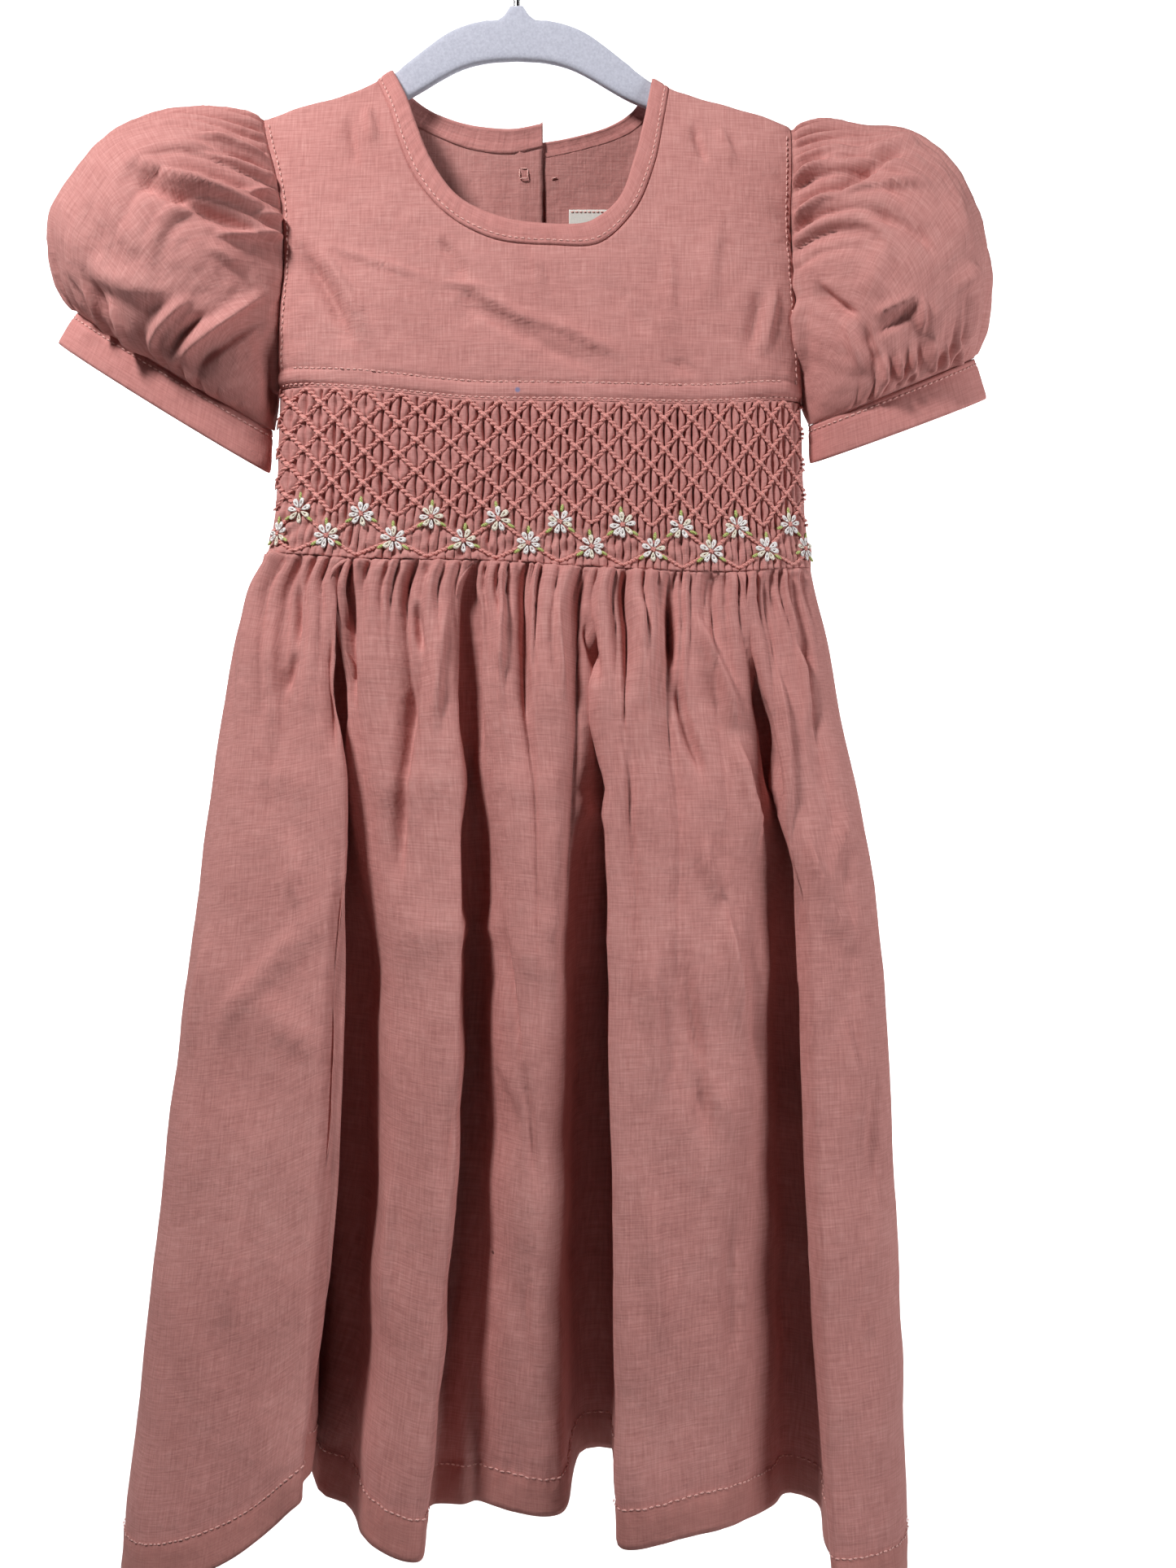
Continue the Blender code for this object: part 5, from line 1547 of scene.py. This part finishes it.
def trellis_places(plain):
    """Corded lines falling to the left, shorter stitches rising, and knots where they cross."""
    places = []
    draw = np.random.default_rng(5)
    for row in range(8):
        offset = 0.5 * (row % 2)
        for number in range(-1, DIAMONDS + 1):
            start = number + offset
            if 0 <= start and start + 0.5 <= DIAMONDS:
                places += rope_run(plain, (start, row), (start + 0.5, row + 1), 4, 1.95, 0.5)
            if 0.5 <= start <= DIAMONDS:
                for a, b in ((0.06, 0.40), (0.34, 0.70), (0.62, 0.94)):
                    wander = draw.uniform(-0.03, 0.03, 2)
                    from_here = (start - 0.5 * a + wander[0], row + a)
                    to_there = (start - 0.5 * b + wander[1], row + b)
                    width = draw.uniform(1.35, 1.7)
                    places.append(lattice_stitch(plain, from_here, to_there, width, THREAD_LIFT - 0.1, 1.2, -0.35))
            if 0 < start < DIAMONDS and row:
                left, right = (start - 0.1, row - 0.05), (start + 0.1, row + 0.08)
                places.append(lattice_stitch(plain, left, right, 2.4, THREAD_LIFT + 0.35, 1.1))
    for number in range(DIAMONDS + 1):
        low, high = max(number - 0.13, 0), min(number + 0.13, DIAMONDS)
        places.append(lattice_stitch(plain, (low, 0.12), (high, 0.12), 1.5, THREAD_LIFT, 1.0))
    return places


def border_places(plain):
    """The two zigzags of the border, from the upper flowers to the lower and on to the low points."""
    places = []
    for number in range(DIAMONDS):
        high_first = number % 2 == 1
        for level, rise in ((8, 1), (10, -1)):
            start_k = level if high_first else level + rise
            end_k = level + rise if high_first else level
            slant = 0.35 if end_k > start_k else -0.35
            places += rope_run(plain, (number, start_k), (number + 1, end_k), 8, 1.7, slant)
    return places


def flower_centres():
    upper = [(number, 8.0) for number in range(1, DIAMONDS, 2)]
    lower = [(number, 9.0) for number in range(0, DIAMONDS + 1, 2)]
    lower[0], lower[-1] = (0.42, 9.0), (DIAMONDS - 0.45, 9.05)
    return upper + lower


def flower_places(plain):
    """Places of the white petals, cream petals, coral knots and green leaves of all flowers."""
    white, cream, knots, leaves = [], [], [], []
    draw = np.random.default_rng(8)
    for number, (d, k) in enumerate(flower_centres()):
        u = np.array([share_at_diamond(d)])
        v = np.array([share_at_half_row(k)])
        centre, up = (part[0] for part in plain.read(u, v, lift=THREAD_LIFT + 0.9))
        across = Vector((1, 0, 0)).cross(Vector(up)).cross(Vector(up)).normalized() * -1
        upward = Vector(up).cross(across) * -1
        if upward.z < 0:
            upward = -upward
        count = 8 if number % 3 else 7
        start = draw.uniform(0, 2 * np.pi)
        reach = FLOWER_RADIUS * draw.uniform(0.93, 1.05)
        for petal in range(count):
            angle = start + 2 * math.pi * petal / count + draw.uniform(-0.12, 0.12)
            away = across * math.cos(angle) + upward * math.sin(angle)
            middle = Vector(centre) + away * reach * 0.6
            size = (reach * 0.9, reach * 0.64 * draw.uniform(0.85, 1.1), 2.6)
            group = cream if draw.uniform() < 0.3 else white
            group.append(grain_matrix(middle, away, up, *size))
        for knot in range(4):
            angle = math.pi / 2 * knot + start
            away = across * math.cos(angle) + upward * math.sin(angle)
            knots.append(grain_matrix(Vector(centre) + away * 0.6 + Vector(up) * 0.45, away, up, 1.6, 1.2, 1.3))
        for hour in LEAF_HOURS:
            angle = math.radians(90 - 30 * hour) + draw.uniform(-0.15, 0.15)
            away = across * math.cos(angle) + upward * math.sin(angle)
            middle = Vector(centre) + away * reach * 1.14 - Vector(up) * 0.3
            leaves.append(grain_matrix(middle, away, up, 4.2, 1.7, 1.4))
    return white, cream, knots, leaves


def make_smocking(rose, threads):
    shaped, plain = smocking_skins()
    columns = share_at_diamond(np.linspace(0, DIAMONDS, DIAMONDS * REEDS_PER_DIAMOND * 8 + 1))
    columns[0], columns[-1] = 0.0, 1.0
    panel = lay_cloth("smocked_front_cloth", shaped, columns, even(84), (0.8, 0.1), rose)
    finish_cloth("smocked_front")
    grain = grain_shape(6, 5)
    coral = trellis_places(plain) + border_places(plain)
    white, cream, knots, leaves = flower_places(plain)
    sewn("smocking_stitches", grain, coral + knots, threads["coral"])
    loop = petal_shape()
    sewn("flower_petals_white", loop, white, threads["white"])
    sewn("flower_petals_cream", loop, cream, threads["cream"])
    sewn("flower_leaves", grain, leaves, threads["green"])


# Skirt


def skirt_relief(folds, side):
    at_waist = fold_curves(folds)[0]
    if side == FRONT:
        fine, broad = Gathers(FINE_GATHERS), Gathers(BROAD_GATHERS, FRONT_PUFFS)
        table, valleys = FRONT_SKIRT_CREASES, FOLD_VALLEYS
    else:
        fine, broad = Gathers(BACK_FINE_GATHERS), Gathers(BACK_BROAD_GATHERS)
        table, valleys = BACK_SKIRT_CREASES, ()
    waist_row = half_row_at(1.0)

    def relief(u, v, base):
        x, z = base[..., 0], base[..., 2]
        w = np.clip(at_waist(u), 0, 1)
        drop = v * SKIRT_LENGTH
        edges = np.minimum(1, np.minimum(w, 1 - w) * 45)
        pleats = smocking_height(diamond_at(w), waist_row + np.maximum(drop, 0) / HALF_ROW_BELOW, x, z, w)
        pleats = pleats * np.minimum(1, np.minimum(w, 1 - w) * 60) * np.exp(-((np.maximum(drop, 0) / 4.5) ** 1.5))
        pleats = pleats + WAIST_ROUND * np.exp(-np.maximum(drop, 0) / 5.5) * np.minimum(1, np.minimum(w, 1 - w) * 60)
        sway = 0.006 * np.sin(drop / 21.0 + 23.0 * w)
        gathers = fine.at(w + sway * eased(drop / 30), drop) + broad.at(w + 0.5 * sway * eased(drop / 30), drop)
        total = pleats + gathers * edges - UNDER_SEAM * eased(-drop / 0.6)
        placed = creases(x, z, table, SKIRT_CREASE_GAIN, SKIRT_ROW_GAP)
        total = total + placed * eased(drop / 30.0) + fold_valleys(x, z, valleys)
        rumple = 0.9 * ripples(x, z, 70.0, 51) + 0.4 * ripples(x, z, 27.0, 52) + 0.12 * ripples(x, z, 11.0, 53)
        total = total + rumple * eased(drop / 70.0) * edges
        above_hem = (1 - v) * SKIRT_LENGTH
        hem = groove(above_hem - HEM_DEPTH, 1.8, 0.7) + 0.4 * eased((HEM_DEPTH - above_hem) / 2.0)
        pucker = 0.4 * np.sin(u * 620.0 + 2 * np.sin(u * 90)) * np.exp(-(((above_hem - HEM_DEPTH) / 7.0) ** 2))
        return total + (hem + pucker) * edges

    return relief


def skirt_columns(folds, count):
    """Columns that share out both the waist, for its gathers, and the length of the hem."""
    at_waist = fold_curves(folds)[0]
    fine = np.linspace(0, 1, 4001)
    measure = WAIST_WEIGHT * np.maximum.accumulate(at_waist(fine)) + (1 - WAIST_WEIGHT) * fine
    return np.interp(np.linspace(0, measure[-1], count + 1), measure, fine)


def make_skirt(name, folds, side, columns, rows, flat, material):
    skin = Skin(skirt_surface(folds, side), skirt_relief(folds, side), side)
    drops = np.interp(even(rows), *ROW_DROPS)
    skirt = lay_cloth(f"{name}_cloth", skin, skirt_columns(folds, columns), drops, flat, material)
    finish_cloth(name)
    return skin


# Sleeves and cuffs


def sleeve_relief(side):
    seed = {"right": 71, "left": 72}[side]
    head, head_folds = Gathers(HEAD_GATHERS), Gathers(HEAD_FOLDS)
    wrist, wrist_folds = Gathers(WRIST_GATHERS), Gathers(WRIST_FOLDS)

    def relief(u, v, base):
        x, y, z = (base[..., k] for k in range(3))
        along = 0.5 * (1 - np.cos(2 * np.pi * u))
        upper = eased((along - 0.35) * 4)
        outer = eased((along - 0.1) * 3)
        drop, rise = v * SLEEVE_REACH, (1 - v) * SLEEVE_REACH
        ends = eased(v / 0.012) * eased((1 - v) / 0.015)
        share = np.mod(u + 0.013 * np.sin(9 * v + seed), 1.0)
        total = (head.at(share, drop) + head_folds.at(share, drop)) * upper
        total = total + (wrist.at(share, rise) + 0.8 * wrist_folds.at(share, rise)) * outer
        total = total + 0.5 * ripples(x + y, z - y, 34.0, seed) + 0.16 * ripples(x + y, z - y, 12.0, seed + 5)
        in_front = eased(0.5 - y / 10.0)
        placed = creases(x, z, SLEEVE_CREASES[side], SLEEVE_CREASE_GAIN) * in_front
        placed = placed + creases(x, z, SLEEVE_BACK_CREASES[side], SLEEVE_CREASE_GAIN) * (1 - in_front)
        return (total + placed) * ends

    return relief


def cuff_relief(u, v, base):
    """A doubled band, round at its edges, with a row of stitching below the gathers."""
    x, z = base[..., 0], base[..., 2]
    round_edges = 0.5 * np.sqrt(np.clip(1 - (2 * v - 1) ** 6, 0, 1)) - 0.5
    return round_edges + groove(v - CUFF_STITCH, 0.06, 0.6) + 0.25 * ripples(x, z, 19.0, 81) * np.sin(np.pi * v)


def make_sleeve(side, rose, trim):
    sleeve = Skin(sleeve_surface(side), sleeve_relief(side))
    cuff = Skin(cuff_surface(side), cuff_relief)
    cloth = lay_cloth(f"sleeve_{side}_cloth", sleeve, even(420), shares(60, (0, 1), 2.0, 0.1), (0.36, 0.14), rose)
    finish_cloth(f"sleeve_{side}")
    band = lay_cloth(
        f"cuff_{side}_cloth", cuff, even(200), even(14), (0.22, 0.02), trim, thickness=CUFF_WALL
    )
    finish_cloth(f"cuff_{side}")
    return {f"sleeve_{side}": sleeve, f"cuff_{side}": cuff}


# Sewing


def sewing_places(skins):
    """Every row of machine stitching on the outside of the dress."""
    s = np.linspace(0, 1, 900)
    places = []
    places += stitch_row(skins["front_neck_binding"], s, 0 * s + BINDING_STITCH)
    yoke = skins["front_yoke"]
    middle = YOKE_CORNER + (1 - 2 * YOKE_CORNER) * (0.004 + 0.992 * s)
    for row in YOKE_STITCH_ROWS:
        places += stitch_row(yoke, middle, yoke_row_shares(yoke, middle, row))
    for start in (0.012, 1 - YOKE_CORNER + 0.008):
        places += stitch_row(yoke, start + (YOKE_CORNER - 0.02) * s, 0 * s + ARMHOLE_STITCH)
    for side in ("right", "left"):
        places += stitch_row(skins[f"back_neck_binding_{side}"], s, 0 * s + BINDING_STITCH)
        places += stitch_row(skins[f"cuff_{side}"], s, 0 * s + CUFF_STITCH)
        across = np.abs(TIP_X[side] - PLACKET_EDGE[side])
        down = 0.02 + 0.97 * s
        places += stitch_row(skins[f"back_{side}"], 0 * s + PLACKET_STITCH / (across * 1.02), down)
    for name in ("front_skirt", "back_skirt"):
        fine = np.linspace(0.002, 0.998, 2400)
        places += stitch_row(skins[name], fine, 0 * fine + 1 - HEM_DEPTH / SKIRT_LENGTH, lift=0.8)
    return places


def yoke_row_shares(yoke, columns, height):
    """The share down the yoke at which each column is a given height above its lower seam."""
    low, high = 0 * columns + 0.3, 0 * columns + 1.0
    for _ in range(22):
        middle = (low + high) / 2
        base = yoke.place(columns, middle)
        above = base[:, 2] - yoke_seam_height(base[:, 0])
        low, high = np.where(above > height, middle, low), np.where(above > height, high, middle)
    return (low + high) / 2


# Hanger and hook


def hanger_place(u, v):
    """A rounded flat bar: u goes round its section, v from the right end to the left."""
    (neck,) = columns_of(HANGER_NECK, 1)
    (bottom,) = columns_of(HANGER_UNDERSIDE, 1)
    reach = HANGER_HALF_SPAN
    x = -reach * np.cos(np.pi * v)
    away = np.abs(x)
    under_cloth = shoulder_height(away) - WALL - HANGER_CLEARANCE
    top = np.where(away < SHOULDER[0][0], neck(away), under_cloth)
    low = bottom(away)
    end_round = np.sqrt(np.clip((reach + 0.4 - away) / 6.5, 0.0, 1.0))
    half_height = (top - low) / 2 * end_round
    half_thick = HANGER_HALF_THICKNESS * (0.3 + 0.7 * end_round)
    around = 2 * np.pi * u
    c, s = np.cos(around), np.sin(around)
    edge = np.minimum(0.5, half_thick / np.maximum(half_height, 0.1))
    z = np.sign(c) * np.abs(c) ** edge
    y = np.sign(s) * np.abs(s) ** 0.8
    return np.stack([x, y * half_thick, (top + low) / 2 + z * half_height], axis=-1)


def make_hanger(material):
    skin = Skin(hanger_place)
    hanger = lay_cloth("flocked_hanger_bar", skin, even(32), even(150), (0.1, 0.4), material)
    hanger.modifiers.clear()
    work = bmesh.new()
    work.from_mesh(hanger.data)
    rims = [edge for edge in work.edges if edge.is_boundary]
    bmesh.ops.holes_fill(work, edges=rims)
    work.to_mesh(hanger.data)
    work.free()
    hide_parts("hanger")


def make_hook(material):
    curve = bpy.data.curves.new("wire_hook", "CURVE")
    curve.dimensions = "3D"
    curve.bevel_depth = WIRE_RADIUS * MM
    curve.bevel_resolution = 6
    curve.use_fill_caps = True
    route = np.array(hook_route())
    steps = np.linalg.norm(np.diff(route, axis=0), axis=1)
    along = np.concatenate([[0], np.cumsum(steps)])
    across, up = (smooth(along, route[:, k]) for k in (0, 1))
    stops = np.concatenate([np.linspace(0, along[-1] - 1.7, 110), along[-1] - np.array([1.1, 0.6, 0.25, 0.0])])
    thin = np.concatenate([np.ones(110), [0.93, 0.78, 0.55, 0.2]])
    spline = curve.splines.new("POLY")
    spline.points.add(len(stops) - 1)
    for point, at, radius in zip(spline.points, stops, thin):
        point.co = (float(across(at)) * MM, 0, float(up(at)) * MM, 1)
        point.radius = radius
    spline.use_smooth = True
    hook = bpy.data.objects.new("wire_hook", curve)
    curve.materials.append(material)
    bpy.context.scene.collection.objects.link(hook)
    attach(hook, "root")
    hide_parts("hook")


# Buttons and label


def make_button(number, height, material, thread_material):
    """A turned disc with a raised rim, sewn on with two bars of thread; its four holes are not cut."""
    work = bmesh.new()
    profile = [work.verts.new((x * MM, 0, z * MM)) for x, z in BUTTON_PROFILE]
    edges = [work.edges.new(pair) for pair in zip(profile, profile[1:])]
    bmesh.ops.spin(
        work, geom=profile + edges, cent=(0, 0, 0), axis=(0, 0, 1), angle=2 * math.pi, steps=48, use_merge=True
    )
    bmesh.ops.remove_doubles(work, verts=work.verts, dist=1e-6)
    bmesh.ops.recalc_face_normals(work, faces=work.faces)
    mesh = kept_shape(work, f"button_{number}_resin")
    above, below = height + BUTTON_RADIUS, height - BUTTON_RADIUS
    depths = body_depth(np.full(3, BUTTON_X), np.array([above, height, below]))
    lean = math.atan2(depths[2] - depths[0], above - below)
    away = BUTTON_STANDOFF + BUTTON_THICKNESS / 2
    centre = (BUTTON_X, depths[1] + away * math.cos(lean), height + away * math.sin(lean))
    place = Matrix.Translation(Vector(centre) * MM) @ Matrix.Rotation(lean - math.pi / 2, 4, "X")
    mesh.transform(place)
    mesh.shade_smooth()
    mesh.set_sharp_from_angle(angle=math.radians(40))
    button = new_piece(f"button_{number}_resin", mesh, material)
    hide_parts(f"button_{number}")
    bars = []
    grain = grain_shape(6, 5)
    for side in (-1, 1):
        spot = place @ Vector((side * BUTTON_HOLE * MM, 0, BUTTON_THICKNESS / 2 * 0.35 * MM))
        along = place.to_3x3() @ Vector((0, 1, 0))
        up = place.to_3x3() @ Vector((0, 0, 1))
        bars.append(grain_matrix(spot / MM, along, up, 3.2, 0.9, 1.1))
        inner = Vector((BUTTON_X + side * 1.0, depths[1] - 1.1, height))
        bars.append(grain_matrix(inner, (0, -math.sin(lean), 1), (0, -1, 0), 3.4, 1.3, 1.0))
    root = Vector(centre) - Vector(up) * (BUTTON_THICKNESS / 2)
    bars.append(grain_matrix(root, up, (1, 0, 0), 3.4, 2.2, 2.2))
    sewn(f"button_{number}_thread", grain, bars, thread_material)


def make_label(material, thread_material):
    """A bare woven label inside the left back, sewn near its top edge; its folded-under top is not shaped."""
    left, top = LABEL_CORNER
    width, height = LABEL_SIZE
    inwards = WALL + SEAM_GAP

    def place(u, v):
        plane = np.stack([left + width * u, top - height * v], axis=-1)
        return on_body(plane, BACK, inwards=inwards)

    relief = lambda u, v, base: -0.35 * np.sin(np.pi * u) * v - 0.2 * v**2
    skin = Skin(place, relief, BACK)
    label = lay_cloth("label_tape_cloth", skin, even(40), even(28), (width * MM, height * MM), material, 0.5)
    finish_cloth("label")
    s = np.linspace(0.03, 0.97, 60)
    row = stitch_row(skin, s, 0 * s + 0.07, pitch=2.2, length=1.8, lift=-0.6)
    sewn("label_stitches", grain_shape(5, 4), row, thread_material)


def make_loose_threads(thread_material):
    """Threads at the corner of the back opening, the square behind the top button and a cut end."""
    grain = grain_shape(5, 4)
    draw = np.random.default_rng(17)
    places = []
    corner_x, corner_z = PLACKET_EDGE["right"], BACK_NECK["right"][0][1]
    depth = float(body_depth(np.array([corner_x]), np.array([corner_z - 4]))[0])
    for number in range(7):
        angle = math.radians(draw.uniform(30, 150))
        reach = draw.uniform(2.5, 5.5)
        along = (math.cos(angle), draw.uniform(-0.3, 0.1), math.sin(angle))
        middle = (corner_x - 4.5 + number * 0.75 + along[0] * reach / 2, depth - 0.6, corner_z + along[2] * reach / 2)
        places.append(grain_matrix(middle, along, (0, -1, 0), reach, 0.28, 0.28))
    height = BUTTON_HEIGHTS[0]
    inside = float(body_depth(np.array([BUTTON_X]), np.array([height]))[0]) - WALL - PLACKET_LAYER - 0.3
    half_width, half_height = THREAD_SQUARE
    for side in (-1, 1):
        places.append(grain_matrix((BUTTON_X + side * half_width, inside, height), (0, 0, 1), (0, -1, 0), 5.6, 0.9, 0.7))
        places.append(grain_matrix((BUTTON_X, inside, height + side * half_height), (1, 0, 0), (0, -1, 0), 4.6, 0.9, 0.7))
    stub_depth = float(body_depth(np.array([THREAD_STUB[0]]), np.array([THREAD_STUB[1]]))[0]) - WALL - 0.3
    places.append(grain_matrix((THREAD_STUB[0], stub_depth, THREAD_STUB[1]), (1, 0, 0.2), (0, -1, 0), 3.6, 0.8, 0.7))
    sewn("loose_threads", grain, places, thread_material)


# Stage, light and camera


def make_backdrop():
    """A sheet of white paper that hangs behind the dress and sweeps forward below it as a floor."""
    work = bmesh.new()
    bmesh.ops.create_grid(work, x_segments=24, y_segments=60, size=0.5)
    for vert in work.verts:
        across, run = vert.co.x * BACKDROP_WIDTH, (vert.co.y + 0.5) * 7.0
        wall = 4.4 - BACKDROP_ROUND
        arc = BACKDROP_ROUND * math.pi / 2
        if run < wall:
            y, z = BACKDROP_Y, FLOOR_Z + BACKDROP_ROUND + wall - run
        elif run < wall + arc:
            angle = (run - wall) / BACKDROP_ROUND
            y = BACKDROP_Y - BACKDROP_ROUND * (1 - math.cos(angle))
            z = FLOOR_Z + BACKDROP_ROUND * (1 - math.sin(angle))
        else:
            y, z = BACKDROP_Y - BACKDROP_ROUND - (run - wall - arc), FLOOR_Z
        vert.co = (across, y, z)
    bmesh.ops.recalc_face_normals(work, faces=work.faces)
    mesh = kept_shape(work, "studio_backdrop")
    mesh.shade_smooth()
    mesh.materials.append(studio_paper())
    backdrop = bpy.data.objects.new("studio_backdrop", mesh)
    bpy.context.scene.collection.objects.link(backdrop)


def add_light(name, place, target, size, power, colour=(1, 1, 1), spread=180.0):
    light = bpy.data.lights.new(name, "AREA")
    light.shape = "RECTANGLE"
    light.spread = math.radians(spread)
    light.size, light.size_y = size
    light.energy = power
    light.color = colour
    lamp = bpy.data.objects.new(name, light)
    lamp.location = place
    lamp.rotation_euler = (Vector(target) - Vector(place)).to_track_quat("-Z", "Y").to_euler()
    lamp.visible_camera = False
    bpy.context.scene.collection.objects.link(lamp)


def make_light():
    middle = (0.03, 0, -0.45)
    add_light("key softbox", KEY_PLACE, middle, (0.22, 0.22), KEY_POWER, (1.0, 0.99, 0.98))
    add_light("second softbox", SECOND_PLACE, middle, (0.5, 0.5), SECOND_POWER)
    for side in (-1, 1):
        place, target = (side * 1.6, 0.35, 0.1), (side * -0.2, BACKDROP_Y, -0.1)
        add_light(f"backdrop light {side}", place, target, (1.0, 1.6), BACKDROP_POWER, spread=BACKDROP_SPREAD)
    world = bpy.data.worlds.new("soft studio room")
    bpy.context.scene.world = world
    world.use_nodes = True
    sky = world.node_tree.nodes["Background"]
    sky.inputs["Color"].default_value = linear("#F6F6FA")
    seen = add(world.node_tree, "ShaderNodeLightPath").outputs["Is Camera Ray"]
    strength = add(world.node_tree, "ShaderNodeMapRange", {"Value": seen, "To Min": ROOM_LIGHT, "To Max": ROOM_SEEN})
    world.node_tree.links.new(strength.outputs[0], sky.inputs["Strength"])
    bpy.context.scene.view_settings.view_transform = "Standard"


def make_camera():
    camera = bpy.data.cameras.new("camera")
    camera.sensor_fit = "VERTICAL"
    camera.sensor_height = 36
    camera.lens = CAMERA_LENS
    seat = bpy.data.objects.new("camera", camera)
    seat.location = CAMERA_PLACE
    seat.rotation_euler = (math.pi / 2, 0, 0)
    bpy.context.scene.collection.objects.link(seat)
    bpy.context.scene.camera = seat


def main():
    marks = (INK_MARK, DARK_DOT)
    tones = ("#AA6E69", "#C28681", "#D69E98")
    hem = ("#B0736B", FRONT_SKIRT_FLAT[1])
    rose = cotton("rose_cotton_lawn", *tones)
    yoke_cloth = cotton("rose_cotton_lawn_yoke", *tones, marks=marks)
    skirt_cloth = cotton("rose_cotton_lawn_skirt", *tones, marks=marks, hem=hem)
    trim = cotton("rose_cotton_trim", "#B2726D", "#C4847F", "#D2948F")
    threads = {
        "coral": thread("coral_stranded_cotton", "#CB7C75", "#E9A49B"),
        "white": thread("white_stranded_cotton", "#E6E0DE", "#FBF8F7"),
        "cream": thread("cream_stranded_cotton", "#E2D8C4", "#F8F1E2"),
        "green": thread("yellow_green_stranded_cotton", "#97A44C", "#C6D084"),
        "sewing": thread("rose_sewing_thread", "#D99B93", "#F0BEB6"),
    }
    skins = make_bodice(yoke_cloth, trim)
    make_smocking(rose, threads)
    skins["front_skirt"] = make_skirt("front_skirt", FRONT_FOLDS, FRONT, 450, 108, FRONT_SKIRT_FLAT, skirt_cloth)
    skins["back_skirt"] = make_skirt("back_skirt", BACK_FOLDS, BACK, 400, 66, BACK_SKIRT_FLAT, skirt_cloth)
    for side in ("right", "left"):
        skins.update(make_sleeve(side, rose, trim))
    sewn("machine_stitches", grain_shape(5, 4), sewing_places(skins), threads["sewing"])
    make_loose_threads(threads["sewing"])
    make_hanger(flock())
    make_hook(steel_wire())
    button_finish = resin()
    for number, height in enumerate(BUTTON_HEIGHTS, start=1):
        make_button(number, height, button_finish, threads["sewing"])
    make_label(woven_tape(), threads["sewing"])
    make_backdrop()
    make_light()
    make_camera()


main()
